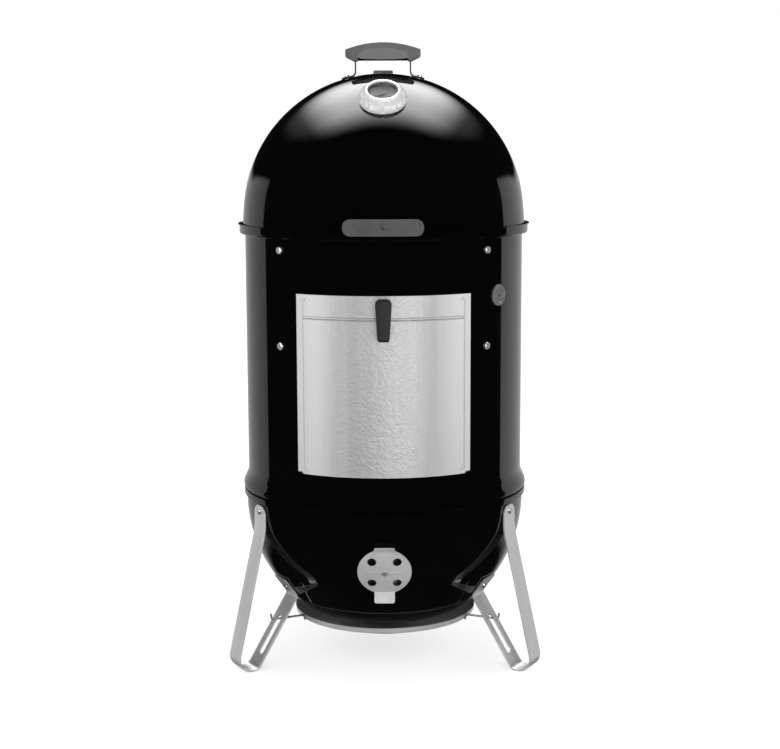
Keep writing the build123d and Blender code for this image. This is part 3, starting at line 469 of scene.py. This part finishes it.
def doorway_block():
    """The space of the doorway: a wedge between two azimuths, two radii and two heights."""
    half, low, high = DOORWAY
    angle = np.radians(np.linspace(-half, half, 69))
    side = np.stack([np.sin(angle), -np.cos(angle)], 1)
    loop = np.concatenate([side * DOORWAY_OUTSIDE, side[::-1] * DOORWAY_INSIDE])
    count = len(loop)
    points = np.concatenate([np.column_stack([loop, np.full(count, z)]) for z in (low, high)])
    i = np.arange(count)
    j = (i + 1) % count
    walls = np.stack([i, j, j + count, i + count], 1).tolist()
    return make_mesh("doorway", points, walls + [list(range(count))[::-1],
                                                 list(range(count, 2 * count))])


port_sin = math.sin(math.radians(GROMMET_AZIMUTH))
port_cos = math.cos(math.radians(GROMMET_AZIMUTH))
grommet_place = (np.array([BODY_RADIUS * port_sin, -BODY_RADIUS * port_cos, GROMMET_Z]),
                 np.array([port_cos, port_sin, 0.0]), np.array([0.0, 0.0, 1.0]),
                 np.array([port_sin, -port_cos, 0.0]))
centre_mesh = make_mesh("centre", *lathe(wall(divided(rounded(CENTRE_LINE, CENTRE_BENDS), 9.0))))
centre_mesh = cut(centre_mesh, doorway_block())
centre_mesh = cut(centre_mesh, plugs("probe_hole", [(grommet_place, 0, 0, PROBE_HOLE, 10)]))
add_piece("centre_enamel_shell", centre_mesh, "center", ["center_shell"], enamel,
          light=None)

# ------------------------------------------------------------------ grate brackets
# Four bent steel straps inside the wall carry both grates and the pan. Each is held by two
# bright bolts, whose domed heads show on the outside.

bolt_bright = plain_finish("bracket_steel_bright", (0.72, 0.72, 0.71), (0.86, 0.86, 0.85),
                           (0.14, 0.26), metallic=0.85, spots=220.0)
finish_nodes(ledge_metal, "grate_bracket_1", "grate_bracket_2", "grate_bracket_3",
             "grate_bracket_4", "bracket_nuts")
refined("bracket_bolt_heads", "bracket_bolts", "center", bolt_bright)

# ------------------------------------------------------------------ probe grommet
# A moulded silicone spool pushed into the wall, with a rim, a dished face and a small hole
# through the middle for a probe's lead.

# The outline is listed clockwise and reversed below, so that its faces point outwards.
silicone = plain_finish("grommet_silicone", (0.10, 0.10, 0.098), (0.12, 0.12, 0.118),
                        (0.16, 0.22), spots=60.0, grain_scale=500.0, grain_height=0.000008)
grommet_outline = np.concatenate([
    rounded([(3.0, 0.2), (3.0, 2.6), (8.0, 2.6), (9.5, 0.9), (15.0, 0.9), (16.8, 3.6),
             (20.6, 3.6), (20.6, 0.2)], [0.6, 1.0, 1.0, 1.0, 1.4, 1.9], 6),
    [(15.8, 0.2), (15.8, -2.6), (19.0, -2.6), (19.0, -6.0), (3.0, -6.0)]])
add_piece("probe_grommet_spool",
          make_mesh("probe_grommet_spool", *lathe(grommet_outline[::-1], 96, grommet_place)),
          "center", ["probe_grommet"], silicone, 35.0, "front")

# ------------------------------------------------------------------ pan and cooking grates
# The water pan is a deep enamelled dish. The two cooking grates are plated steel rods welded
# across a rim ring, each with two lifting loops.

PAN_LIP_Z, PAN_DEPTH = 590.05, 130
PAN_BASE_RADIUS, PAN_MOUTH_RADIUS, PAN_LIP_RADIUS = 150, 230, 243
pan_line = divided(rounded([(0, PAN_LIP_Z - PAN_DEPTH), (PAN_BASE_RADIUS, PAN_LIP_Z - PAN_DEPTH),
                            (PAN_MOUTH_RADIUS, PAN_LIP_Z), (PAN_LIP_RADIUS, PAN_LIP_Z)],
                           [30, 3]), 8.0)
add_piece("water_pan_dish", make_mesh("water_pan_dish", *lathe(wall(pan_line), 192)), "pan",
          ["water_pan"], enamel, light=None)
plated = plain_finish("plated_wire", (0.58, 0.58, 0.57), (0.74, 0.74, 0.73), (0.14, 0.28),
                      metallic=1.0, spots=70.0)
refined("lower_grate_rods", "lower_grate", "low_grate", plated, sharp=50.0)
refined("upper_grate_rods", "upper_grate", "top_grate", plated, sharp=50.0)

# ------------------------------------------------------------------ door
# A pressed door of stucco-embossed aluminium sheet, curved to the wall. Its sides are folded
# along two upright creases, a double groove crosses it below the latch, and two clips behind
# its lower edge hang it in the doorway.

DOOR_OUTSIDE, DOOR_INSIDE, DOOR_LIP = 280.8, 279.3, 276.0
DOOR_HALF, DOOR_LOW, DOOR_HIGH = 35.4, 410.4, 750.9
CREASE_AZIMUTH = 32.6
CREASE_ENDS = (417.0, 744.0)
SIDE_NOTCH = 4.0
CROSS_GROOVES = (709.9, 704.9)


def hammered(x, z, cells, seed):
    """Random relief between -1 and 1: a seeded lattice of heights with cells millimetres wide,
    blended between its four nearest points by the smooth cubic 3t^2 - 2t^3."""
    lattice = np.random.default_rng(seed).uniform(-1, 1, (400, 400))
    u, v = x / cells + 160, z / cells
    i, j = np.floor(u).astype(int), np.floor(v).astype(int)
    s, t = u - i, v - j
    s, t = s * s * (3 - 2 * s), t * t * (3 - 2 * t)
    i, j = i % 399, j % 399
    return ((lattice[i, j] * (1 - s) + lattice[i + 1, j] * s) * (1 - t)
            + (lattice[i, j + 1] * (1 - s) + lattice[i + 1, j + 1] * s) * t)


def groove(distance, half_width):
    """A rounded valley: 1 on its line, 0 beyond its half width, as a raised cosine."""
    return 0.5 + 0.5 * np.cos(np.pi * np.clip(np.abs(distance) / half_width, 0, 1))


def door_mesh():
    """The door as rows of one closed loop: across the front from left to right, round the right
    lip, back across the inside and round the left lip. The front's radius drops in the grooves
    and rises and falls with the embossing; the first and last rows reach in to the lip."""
    fine = np.array([-2.4, -1.6, -1.1, -0.7, -0.35, 0, 0.35, 0.7, 1.1, 1.6, 2.4])
    to_angle = 180 / math.pi / DOOR_OUTSIDE
    front = np.unique(np.concatenate(
        [np.linspace(-DOOR_HALF, DOOR_HALF, 196)]
        + [side * CREASE_AZIMUTH + fine * to_angle for side in (-1, 1)]).round(5))
    back = np.linspace(DOOR_HALF - 0.3, -DOOR_HALF + 0.3, 25)
    azimuth = np.concatenate([front, [DOOR_HALF], back, [-DOOR_HALF]])
    span = np.unique(np.concatenate(
        [np.linspace(0, 1, 250)]
        + [(z + fine - DOOR_LOW) / (DOOR_HIGH - DOOR_LOW) for z in CROSS_GROOVES]).round(6))
    lip = SHEET / (DOOR_HIGH - DOOR_LOW)
    span = np.sort(np.concatenate([span[(span < 1e-9) | (span > lip)], [lip, lip]]))
    span = np.concatenate([span[span < 1 - lip], [1 - lip, 1 - lip, 1.0]])
    az, up = np.meshgrid(azimuth, span)
    low = DOOR_LOW + SIDE_NOTCH * np.clip((np.abs(az) - 32.9) / 0.25, 0, 1)
    z = low + up * (DOOR_HIGH - low)
    arc_x = np.radians(az) * DOOR_OUTSIDE
    relief = 0.13 * hammered(arc_x + 0.35 * z, z, 5.2, 11) + 0.13 * hammered(arc_x, z, 3.6, 12)
    middle = np.exp(-((az + 3.0) / 15.0) ** 4)
    panel = np.clip((CREASE_AZIMUTH - 0.6 - np.abs(az)) / 1.2, 0, 1)
    relief *= (0.12 + 0.95 * middle) * (0.25 + 0.75 * panel)
    between = np.clip((CREASE_AZIMUTH - np.abs(az)) / 0.3, 0, 1)
    inside_ends = np.clip((z - CREASE_ENDS[0]) / 2, 0, 1) * np.clip((CREASE_ENDS[1] - z) / 2, 0, 1)
    relief -= 1.2 * inside_ends * groove((np.abs(az) - CREASE_AZIMUTH) / to_angle, 1.5)
    for height in CROSS_GROOVES:
        relief -= 1.0 * between * groove(z - height, 1.2)
    relief += 0.25 * between * groove(z - sum(CROSS_GROOVES) / 2, 1.3)
    edge = np.clip(np.minimum(z - low, DOOR_HIGH - z) / 3.0, 0, 1)
    edge = edge * np.clip((DOOR_HALF - np.abs(az)) * 4.9 / 3.0, 0, 1)
    radius = DOOR_OUTSIDE - 0.12 + relief * edge
    first_back = len(front)
    row = np.arange(len(span))
    deep = (row < 2) | (row >= len(span) - 2)
    radius[:, first_back:] = np.where(deep, DOOR_LIP, DOOR_INSIDE)[:, None]
    radius[:, [first_back, -1]] = DOOR_LIP
    angle = np.radians(az)
    points = np.stack([radius * np.sin(angle), -radius * np.cos(angle), z], 2).reshape(-1, 3)
    rows, columns = az.shape
    i, j = np.meshgrid(np.arange(rows - 1), np.arange(columns), indexing="ij")
    j2 = (j + 1) % columns
    faces = np.stack([i * columns + j, i * columns + j2, (i + 1) * columns + j2,
                      (i + 1) * columns + j], 2).reshape(-1, 4).tolist()
    last = (rows - 1) * columns
    return make_mesh("door_sheet", points,
                     faces + [list(range(columns))[::-1], list(range(last, last + columns))])


door_metal = plain_finish("door_aluminium", (0.70, 0.70, 0.695), (0.80, 0.80, 0.795),
                          (0.33, 0.44), metallic=0.92, spots=2.2, grain_scale=12.0,
                          grain_height=0.00012, stretch=(30, 30, 0.6))


def make_stucco():
    """Fine embossing between the mesh's own bumps: noise a few millimetres across, at full
    strength between x = -50 and 30 mm, and smoothly down to about a tenth at the sides."""
    tree, given, out = new_group("stucco", [("Vector", "NodeSocketVector", None)],
                                 [("Height", "NodeSocketFloat")])
    x = add_node(tree, "ShaderNodeSeparateXYZ", {0: given["Vector"]}).outputs[0]
    rise = add_node(tree, "ShaderNodeMapRange",
                    {"Value": x, "From Min": -0.120, "From Max": -0.050, "To Min": 0.10},
                    interpolation_type="SMOOTHSTEP").outputs[0]
    fall = add_node(tree, "ShaderNodeMapRange",
                    {"Value": x, "From Min": 0.110, "From Max": 0.030, "To Min": 0.15},
                    interpolation_type="SMOOTHSTEP").outputs[0]
    noise = add_node(tree, "ShaderNodeTexNoise",
                     {"Vector": given["Vector"], "Scale": 330.0, "Detail": 2.0,
                      "Distortion": 0.8}).outputs["Fac"]
    both = add_node(tree, "ShaderNodeMath", {0: rise, 1: fall}, operation="MULTIPLY").outputs[0]
    made = add_node(tree, "ShaderNodeMath", {0: both, 1: noise}, operation="MULTIPLY").outputs[0]
    tree.links.new(made, out.inputs[0])
    return tree


door_tree = door_metal.node_tree
stucco = add_node(door_tree, "ShaderNodeGroup", {}, node_tree=make_stucco())
door_tree.links.new(door_tree.nodes.new("ShaderNodeTexCoord").outputs["Object"], stucco.inputs[0])
streaks = next(n for n in door_tree.nodes if n.type == "GROUP" and n.node_tree == grain)
stucco_bump = add_node(door_tree, "ShaderNodeBump",
                       {"Height": stucco.outputs[0], "Distance": 0.0007,
                        "Normal": streaks.outputs[0]})
door_tree.links.new(stucco_bump.outputs[0], door_tree.nodes["Principled BSDF"].inputs["Normal"])
add_piece("door_sheet", door_mesh(), "door", ["door_panel"], door_metal, 28.0,
          "front")
finish_nodes(bolt_metal, "door_hook_left", "door_hook_right")
refined("door_rivet_heads", "door_rivets", "door", rivet_metal, 0.2,
        light="front")

# ------------------------------------------------------------------ latch
# A moulded glass-filled nylon handle on a steel pin. Inside, a small steel plate on the same
# pin swings behind the edge of the doorway.

nylon = plain_finish("latch_nylon", (0.0022, 0.0022, 0.0022), (0.0045, 0.0045, 0.0045),
                     (0.30, 0.42), spots=60.0, grain_scale=1400.0, grain_height=0.00003)
refined("latch_grip", "latch_handle", "latch", nylon, 0.8, light="front")
finish_nodes(bolt_metal, "latch_shaft", "latch_tongue", "latch_nut")

# ------------------------------------------------------------------ lid
# The domed lid: one deep-drawn enamelled sheet with a short straight skirt that drops inside
# the centre section's rim. Four holes under a vent disc at the back let the smoke out.

LID_RADIUS, LID_CENTRE_Z = 278.0, 884.2
SKIRT_START, SKIRT_END_Z = 4.8, 855.2
TOP_DAMPER_RISE = 68.9
skirt_angle = math.radians(SKIRT_START)
lid_middle = LID_RADIUS - SHEET / 2
skirt_top = (lid_middle * math.cos(skirt_angle),
             LID_CENTRE_Z + lid_middle * math.sin(skirt_angle))
skirt_low = (skirt_top[0] + (skirt_top[1] - SKIRT_END_Z) * math.tan(skirt_angle), SKIRT_END_Z)
lid_line = np.concatenate([[skirt_low],
                           arc((0, LID_CENTRE_Z), lid_middle, SKIRT_START, 90, 96)])
lid_line[-1, 0] = 0.0
lid_outline = wall(divided(lid_line, 9.0))
lid_outline[lid_outline[:, 0] < 0.5, 0] = 0.0
top_damper_place = sphere_frame(LID_CENTRE_Z, LID_RADIUS, TOP_DAMPER_RISE, 180)
lid_mesh = cut(make_mesh("lid", *lathe(lid_outline)), plugs("lid_vents", vent_rods(top_damper_place)))
add_piece("lid_enamel_shell", lid_mesh, "lid", ["lid_shell"], enamel,
          light=None)
refined("top_vent_disc", "top_damper", "lid_vent", damper_metal, 0.35,
        place=top_damper_place)
refined("top_vent_rivet", "top_damper_rivet", "lid", rivet_metal)

# ------------------------------------------------------------------ lid handle
# A bent steel strap bolted to the dome carries a nylon grip in two halves, the upper one
# arched for the palm and the lower one ribbed for the fingers.

grip_nylon = plain_finish("grip_nylon", (0.046, 0.046, 0.046), (0.064, 0.064, 0.064),
                          (0.42, 0.56), spots=50.0, grain_scale=1300.0, grain_height=0.00003)
insert_nylon = plain_finish("insert_nylon", (0.074, 0.074, 0.074), (0.092, 0.092, 0.092),
                            (0.45, 0.60), spots=50.0, grain_scale=1300.0, grain_height=0.00003)
handle_steel = plain_finish("handle_steel", (0.008, 0.008, 0.008), (0.016, 0.016, 0.016),
                            (0.30, 0.42), metallic=0.3, spots=40.0, stretch=(3, 3, 0.5))
refined("handle_strap", "lid_handle_bracket", "lid", handle_steel, 0.35)


def moulded(name, outline, depth, node, material, bevel):
    """A closed outline in x and z carried along y, from half the depth in front to half behind,
    its ends closed, and its edges rounded by a bevel."""
    count = len(outline)
    points = np.concatenate([np.column_stack([outline[:, 0], np.full(count, y), outline[:, 1]])
                             for y in (-depth / 2, depth / 2)])
    i = np.arange(count)
    j = (i + 1) % count
    sides = np.stack([i, j, j + count, i + count], 1)[:, ::-1].tolist()
    mesh = make_mesh(name, points, sides + [list(range(count)),
                                            list(range(count, 2 * count))[::-1]])
    work = bmesh.new()
    work.from_mesh(mesh)
    bmesh.ops.recalc_face_normals(work, faces=work.faces)
    work.to_mesh(mesh)
    work.free()
    piece = add_piece(name, mesh, "lid", [node], material, 30.0)
    edge = piece.modifiers.new("edge", "BEVEL")
    edge.width, edge.segments, edge.limit_method = bevel * MM, 3, "ANGLE"
    edge.angle_limit = math.radians(50)
    edge.harden_normals = True
    return piece


HANDLE_HALF, HANDLE_CREST, HANDLE_SHOULDER = 73.7, 1222.0, 1208.4
crest_x = np.linspace(-HANDLE_HALF, HANDLE_HALF, 33)
crest = np.stack([crest_x, HANDLE_CREST - (HANDLE_CREST - HANDLE_SHOULDER)
                  * (crest_x / HANDLE_HALF) ** 2], 1)
HEEL_Z, UNDERSIDE_Z = 1185.6, 1192.6
under_half = [(HANDLE_HALF, 1200.0), (HANDLE_HALF, 1194.0), (57.0, HEEL_Z), (50.0, HEEL_Z),
              (44.5, UNDERSIDE_Z)]
grip_under = rounded(under_half + [(-x, z) for x, z in reversed(under_half)],
                     [4.0, 3.0, 2.0, 4.0, 4.0, 2.0, 3.0, 4.0], 6)
moulded("handle_grip", np.concatenate([crest, grip_under]), 31.0, "lid_handle_grip",
        grip_nylon, 2.2)
INSERT_HALF, INSERT_BASE, INSERT_ARCH = 50.0, 1193.0, 18.0
RIBS_HALF, RIB_PITCH = 44, 7.4
insert_x = np.linspace(-INSERT_HALF, INSERT_HALF, 41)
insert_top = np.stack([insert_x, INSERT_BASE + INSERT_ARCH
                       * np.sqrt(1 - (np.abs(insert_x) / INSERT_HALF) ** 2.6)], 1)
rib_x = np.linspace(RIBS_HALF, -RIBS_HALF, 177)
rib_low = 1190.4 - 1.0 * (1 - (rib_x / RIBS_HALF) ** 2) - 1.2 * (1 - (rib_x / RIBS_HALF) ** 4) * (
    0.5 - 0.5 * np.cos(2 * np.pi * rib_x / RIB_PITCH))
moulded("handle_insert", np.concatenate([insert_top, np.stack([rib_x, rib_low], 1)]), 32.0,
        "lid_handle_insert", insert_nylon, 0.15)
finish_nodes(bolt_metal, "lid_handle_screws", "lid_handle_nuts")
refined("handle_bolt_heads", "lid_handle_bolts", "lid", bolt_metal)

# ------------------------------------------------------------------ front grip
# A curved nylon bar in front of the rim, moulded with one boss that meets the lid's skirt,
# and held by one screw from the front.

refined("front_grip_bar", "front_grip", "lid", grip_nylon, 1.5, light="front")
finish_nodes(ledge_metal, "front_grip_nut")
screw_dark = plain_finish("grip_screw_steel", (0.05, 0.05, 0.05), (0.10, 0.10, 0.10),
                          (0.25, 0.35), metallic=0.9, spots=200.0)
finish_nodes(screw_dark, "front_grip_screw")

# ------------------------------------------------------------------ thermometer
# A bimetal dial thermometer: stem through the dome, steel cup, printed dial, pointer, glass,
# and a chromed bezel with rounded sides and notches round them.

GAUGE_RISE = 54.1
NOTCHES = 10
gauge_place = sphere_frame(LID_CENTRE_Z, LID_RADIUS, GAUGE_RISE, 0)


def notched(angle, z):
    """Radius factor of the bezel's side: ten notches with steep edges round the angle, at full
    depth from just above the foot to 12.5 mm up, and gone at 15 mm."""
    turn = (angle * NOTCHES / (2 * math.pi)) % 1.0 - 0.5
    dip = np.clip(1 - (np.abs(np.abs(turn) - 0.5) / 0.085) ** 4, 0, 1)
    reach = np.clip((15.0 - z) / 2.5, 0, 1) * np.clip((z + 2.6) / 2.5, 0, 1)
    return 1 - 0.075 * dip * reach


bezel_outline = np.concatenate([
    rounded([(43.6, -3.0), (45.3, -3.0), (46.0, 4.0), (43.4, 11.5), (34.6, 18.6), (32.6, 22.0),
             (29.4, 22.0), (28.2, 19.6)], [0.8, 4.0, 6.0, 3.0, 1.3, 0.9], 8),
    [(30.6, 19.6), (30.6, 14.0), (32.6, 14.0), (36.0, 8.0)]])
bezel_outline = divided(np.concatenate([bezel_outline, bezel_outline[:1]]), 1.5)[:-1]
chrome = plain_finish("bezel_chrome", (0.74, 0.74, 0.74), (0.80, 0.80, 0.80), (0.20, 0.30),
                      metallic=0.3, spots=80.0, grain_scale=200.0, grain_height=0.000008)
add_piece("thermometer_rim", make_mesh("thermometer_rim", *lathe(bezel_outline, 320, gauge_place,
                                                                 notched)),
          "lid", ["thermometer_bezel"], chrome, 50.0, "front")


def make_dial_marks():
    """Dark marks on a UV map: a short tick every 3 degrees and a long one every 15, a thin ring
    outside them, and a small disc at the middle, all of value 1, and an arc of value 0.7 over the
    upper half, which is painted shade for the dial's darker top."""
    tree, given, out = new_group("dial_marks", [("UV", "NodeSocketVector", None)],
                                 [("Value", "NodeSocketFloat")])
    x, y, _ = add_node(tree, "ShaderNodeSeparateXYZ", {0: given["UV"]}).outputs

    def calc(operation, a, b=0.0):
        return add_node(tree, "ShaderNodeMath", {0: a, 1: b}, operation=operation).outputs[0]

    def band(value, low, high):
        return calc("MULTIPLY", calc("GREATER_THAN", value, low), calc("LESS_THAN", value, high))

    radius = calc("SQRT", calc("ADD", calc("MULTIPLY", x, x), calc("MULTIPLY", y, y)))
    angle = calc("ARCTAN2", x, y)
    used = calc("LESS_THAN", calc("ABSOLUTE", angle), 2.3)
    long_tick = calc("LESS_THAN", calc("PINGPONG", calc("MULTIPLY", angle, 12 / math.pi), 0.5), 0.07)
    short_tick = calc("LESS_THAN", calc("PINGPONG", calc("MULTIPLY", angle, 60 / math.pi), 0.5), 0.12)
    ticks = calc("MAXIMUM", calc("MULTIPLY", long_tick, band(radius, 0.175, 0.245)),
                 calc("MULTIPLY", short_tick, band(radius, 0.215, 0.245)))
    ring = band(radius, 0.252, 0.258)
    # The arc over the upper half is painted shade: it darkens the top of the dial as if the bezel
    # shaded it.
    above = calc("LESS_THAN", calc("ABSOLUTE", angle), 1.1)
    painted_shade_arc = calc("MULTIPLY", band(radius, 0.095, 0.160), above)
    marks = calc("MAXIMUM", calc("MULTIPLY", calc("MAXIMUM", ticks, ring), used),
                 calc("LESS_THAN", radius, 0.028))
    marks = calc("MAXIMUM", marks, calc("MULTIPLY", painted_shade_arc, 0.7))
    tree.links.new(marks, out.inputs[0])
    return tree


dial_paint = plain_finish("dial_face", (0.15, 0.15, 0.148), (0.22, 0.22, 0.217), (0.55, 0.65),
                          spots=60.0)
dial_tree = dial_paint.node_tree
marks = add_node(dial_tree, "ShaderNodeGroup", {}, node_tree=make_dial_marks())
dial_tree.links.new(dial_tree.nodes.new("ShaderNodeTexCoord").outputs["UV"], marks.inputs[0])
ground = next(n for n in dial_tree.nodes if n.type == "MIX")
# The dark mix carries the printed ticks, ring and hub, and the painted shade of the upper arc.
ink_and_painted_shade = add_node(dial_tree, "ShaderNodeMix",
               {0: marks.outputs[0], 6: ground.outputs[2], 7: (0.02, 0.02, 0.02, 1)},
               data_type="RGBA")
dial_tree.links.new(ink_and_painted_shade.outputs[2], dial_tree.nodes["Principled BSDF"].inputs["Base Color"])
refined("dial_plate", "thermometer_dial", "lid", dial_paint, place=gauge_place,
        light="front")
needle_paint = plain_finish("needle_black", (0.008, 0.008, 0.008), (0.014, 0.014, 0.014),
                            (0.35, 0.5), spots=90.0)

POINTER_ANGLE, POINTER_TIP, POINTER_TAIL = 38.0, 22.5, 6.0
POINTER_LOW, POINTER_HIGH = 13.0, 14.2
pointer_turn = math.radians(POINTER_ANGLE)
pointer = [(-POINTER_TIP, -0.35), (-POINTER_TAIL, -1.9), (POINTER_TAIL - 1.0, -1.9),
           (POINTER_TAIL, 0.0), (POINTER_TAIL - 1.0, 1.9), (-POINTER_TAIL, 1.9),
           (-POINTER_TIP, 0.35)]
pointer = np.array([(x * math.cos(pointer_turn) - y * math.sin(pointer_turn),
                     x * math.sin(pointer_turn) + y * math.cos(pointer_turn))
                    for x, y in pointer])
sides = len(pointer)
pointer_points = np.concatenate([np.column_stack([pointer, np.full(sides, z)])
                                 for z in (POINTER_LOW, POINTER_HIGH)])
pointer_faces = [[i, (i + 1) % sides, (i + 1) % sides + sides, i + sides] for i in range(sides)]
pointer_faces += [list(range(sides))[::-1], list(range(sides, 2 * sides))]
add_piece("gauge_pointer", make_mesh("gauge_pointer", placed(pointer_points, gauge_place),
                                     pointer_faces),
          "needle", ["thermometer_needle"], needle_paint, 30.0, "front")
gauge_metal = plain_finish("gauge_steel", (0.45, 0.45, 0.44), (0.60, 0.60, 0.59), (0.2, 0.35),
                           metallic=1.0, spots=90.0)
finish_nodes(gauge_metal, "thermometer_case", "thermometer_stem", "thermometer_nut")
lens = plain_finish("lens_glass", (0.97, 0.97, 0.97), (1.0, 1.0, 1.0), (0.01, 0.02), ior=1.08,
                    spots=30.0, grain_scale=20.0, grain_height=0.000001)
lens.node_tree.nodes["Principled BSDF"].inputs["Transmission Weight"].default_value = 1.0
lens_outline = np.concatenate([[(0, 17.4)], rounded([(27, 17.4), (29.2, 17.4), (29.2, 19.2),
                                                     (27, 19.2)], [0.3, 0.3], 4), [(0, 19.2)]])
add_piece("dial_glass", make_mesh("dial_glass", *lathe(lens_outline, 96, gauge_place)), "lid",
          ["thermometer_lens"], lens, light=None)

# ------------------------------------------------------------------ room, lights and camera
# A plain white room with a pale floor, bright behind and overhead. Two soft lights in front
# reach the bare metal and the lid handle, four reach the door, latch, front grip and gauge.

FLOOR_HALF = 30.0
floor_mesh = bpy.data.meshes.new("floor")
floor_mesh.from_pydata([(x * FLOOR_HALF, y * FLOOR_HALF, 0.0)
                        for x, y in ((-1, -1), (1, -1), (1, 1), (-1, 1))], [], [(0, 1, 2, 3)])
floor = bpy.data.objects.new("floor", floor_mesh)
bpy.context.scene.collection.objects.link(floor)
floor.visible_glossy = False
floor.visible_shadow = False
floor_paint = bpy.data.materials.new("floor_paint")
floor_paint.use_nodes = True
floor_shader = floor_paint.node_tree.nodes["Principled BSDF"]
floor_shader.inputs["Base Color"].default_value = (0.85, 0.85, 0.85, 1)
floor_shader.inputs["Roughness"].default_value = 0.9
floor_shader.inputs["Specular IOR Level"].default_value = 0.0
floor_shader.inputs["Emission Color"].default_value = (1, 1, 1, 1)
floor_shader.inputs["Emission Strength"].default_value = 0.55
floor_mesh.materials.append(floor_paint)


OVERHEAD_STRENGTH, DARK_ROOM, DIFFUSE_ROOM = 7.0, 0.006, 0.80


def build_room_light():
    """Seen straight on, the room is white. In reflections it is dark in front and bright behind,
    up to 67 degrees either side, below the larger of z = 0.19 |x| and z = 0.43 |x| - 0.13. A
    soft overhead light falls off with x / z and y / z of the direction, and its near edge bows
    away as the fourth power of x / z."""
    world = bpy.data.worlds.new("room")
    bpy.context.scene.world = world
    world.use_nodes = True
    tree = world.node_tree
    tree.nodes.clear()

    def calc(operation, a, b=0.0):
        return add_node(tree, "ShaderNodeMath", {0: a, 1: b}, operation=operation).outputs[0]

    def ramp(value, start, end):
        return add_node(tree, "ShaderNodeMapRange",
                        {"Value": value, "From Min": start, "From Max": end},
                        interpolation_type="SMOOTHSTEP").outputs[0]

    direction = tree.nodes.new("ShaderNodeTexCoord").outputs["Generated"]
    x, y, z = add_node(tree, "ShaderNodeSeparateXYZ", {0: direction}).outputs
    level = calc("SQRT", calc("ADD", calc("MULTIPLY", x, x), calc("MULTIPLY", y, y)))
    behind = calc("DIVIDE", y, calc("MAXIMUM", level, 0.001))
    sidewise = calc("ABSOLUTE", x)
    wall_rise = calc("MAXIMUM", calc("MULTIPLY", sidewise, 0.19),
                     calc("SUBTRACT", calc("MULTIPLY", sidewise, 0.43), 0.13))
    wall_top = calc("SUBTRACT", z, wall_rise)
    back_wall = calc("MULTIPLY", ramp(behind, 0.385, 0.400), ramp(wall_top, 0.03, -0.02))
    back_wall = calc("MULTIPLY", back_wall, ramp(z, -0.50, -0.36))
    back_wall = calc("MULTIPLY", back_wall, calc("ADD", calc("MULTIPLY", x, 0.10), 0.60))
    up = calc("MAXIMUM", z, 0.02)
    across = calc("ABSOLUTE", calc("DIVIDE", x, up))
    along = calc("DIVIDE", y, up)
    sideways = calc("ADD", calc("MULTIPLY", ramp(across, 0.94, 0.30), 0.92),
                    calc("MULTIPLY", ramp(across, 1.45, 0.60), 0.08))
    near_edge = calc("SUBTRACT", along, calc("MULTIPLY", calc("POWER", across, 4.0), 0.27))
    overhead = calc("MULTIPLY", sideways, ramp(near_edge, -0.27, 0.24))
    overhead = calc("MULTIPLY", overhead, ramp(along, 2.2, 0.60))
    overhead = calc("MULTIPLY", calc("MULTIPLY", overhead, ramp(z, 0.25, 0.45)),
                    OVERHEAD_STRENGTH)
    studio = calc("ADD", calc("ADD", back_wall, overhead), DARK_ROOM)
    path = tree.nodes.new("ShaderNodeLightPath").outputs
    seen = add_node(tree, "ShaderNodeMix", {0: path["Is Glossy Ray"], 2: DIFFUSE_ROOM, 3: studio})
    shown = add_node(tree, "ShaderNodeMix", {0: path["Is Camera Ray"], 2: seen.outputs[0], 3: 1.0})
    glow = add_node(tree, "ShaderNodeBackground",
                    {"Color": (1, 1, 1, 1), "Strength": shown.outputs[0]})
    out = tree.nodes.new("ShaderNodeOutputWorld")
    tree.links.new(glow.outputs[0], out.inputs["Surface"])


build_room_light()


def soft_light(name, group, azimuth, away, middle, width, height, radiance):
    """A soft upright rectangle at an azimuth and a distance from the axis, facing the smoker,
    that reaches one group of parts. Its power is radiance x pi x its area."""
    data = bpy.data.lights.new(name, "AREA")
    data.shape, data.size, data.size_y = "RECTANGLE", width, height
    data.energy = radiance * math.pi * width * height
    lamp = bpy.data.objects.new(name, data)
    bpy.context.scene.collection.objects.link(lamp)
    a = math.radians(azimuth)
    lamp.location = (away * math.sin(a), -away * math.cos(a), middle)
    lamp.rotation_mode = "QUATERNION"
    lamp.rotation_quaternion = Vector((-math.sin(a), math.cos(a), 0)).to_track_quat("-Z", "Y")
    lamp.visible_camera = False
    lamp.light_linking.receiver_collection = lit[group]


soft_light("metal_right", "metal", 24, 3.3, 1.2, 1.9, 2.4, 6.2)
soft_light("metal_left", "metal", -62, 3.3, 1.2, 1.3, 2.4, 6.6)
soft_light("door_middle", "front", 13, 3.2, 0.75, 1.8, 2.6, 1.40)
soft_light("door_right", "front", 64, 3.2, 0.75, 2.6, 2.6, 1.05)
soft_light("door_left", "front", -60, 3.2, 0.75, 2.1, 2.6, 1.12)
soft_light("door_gap", "front", -26, 3.2, 0.75, 1.5, 2.6, 0.56)

camera_data = bpy.data.cameras.new("camera")
camera_data.lens = 73.13
camera_data.sensor_width = 36.0
camera_data.clip_end = 100.0
camera = bpy.data.objects.new("camera", camera_data)
bpy.context.scene.collection.objects.link(camera)
camera.matrix_world = (Matrix.Translation((0.0117, -3.169, 1.0464))
                       @ Matrix.Rotation(math.pi / 2 - 0.1512, 4, "X")
                       @ Matrix.Rotation(-0.0035, 4, "Z"))
bpy.context.scene.camera = camera
bpy.context.scene.view_settings.view_transform = "Standard"
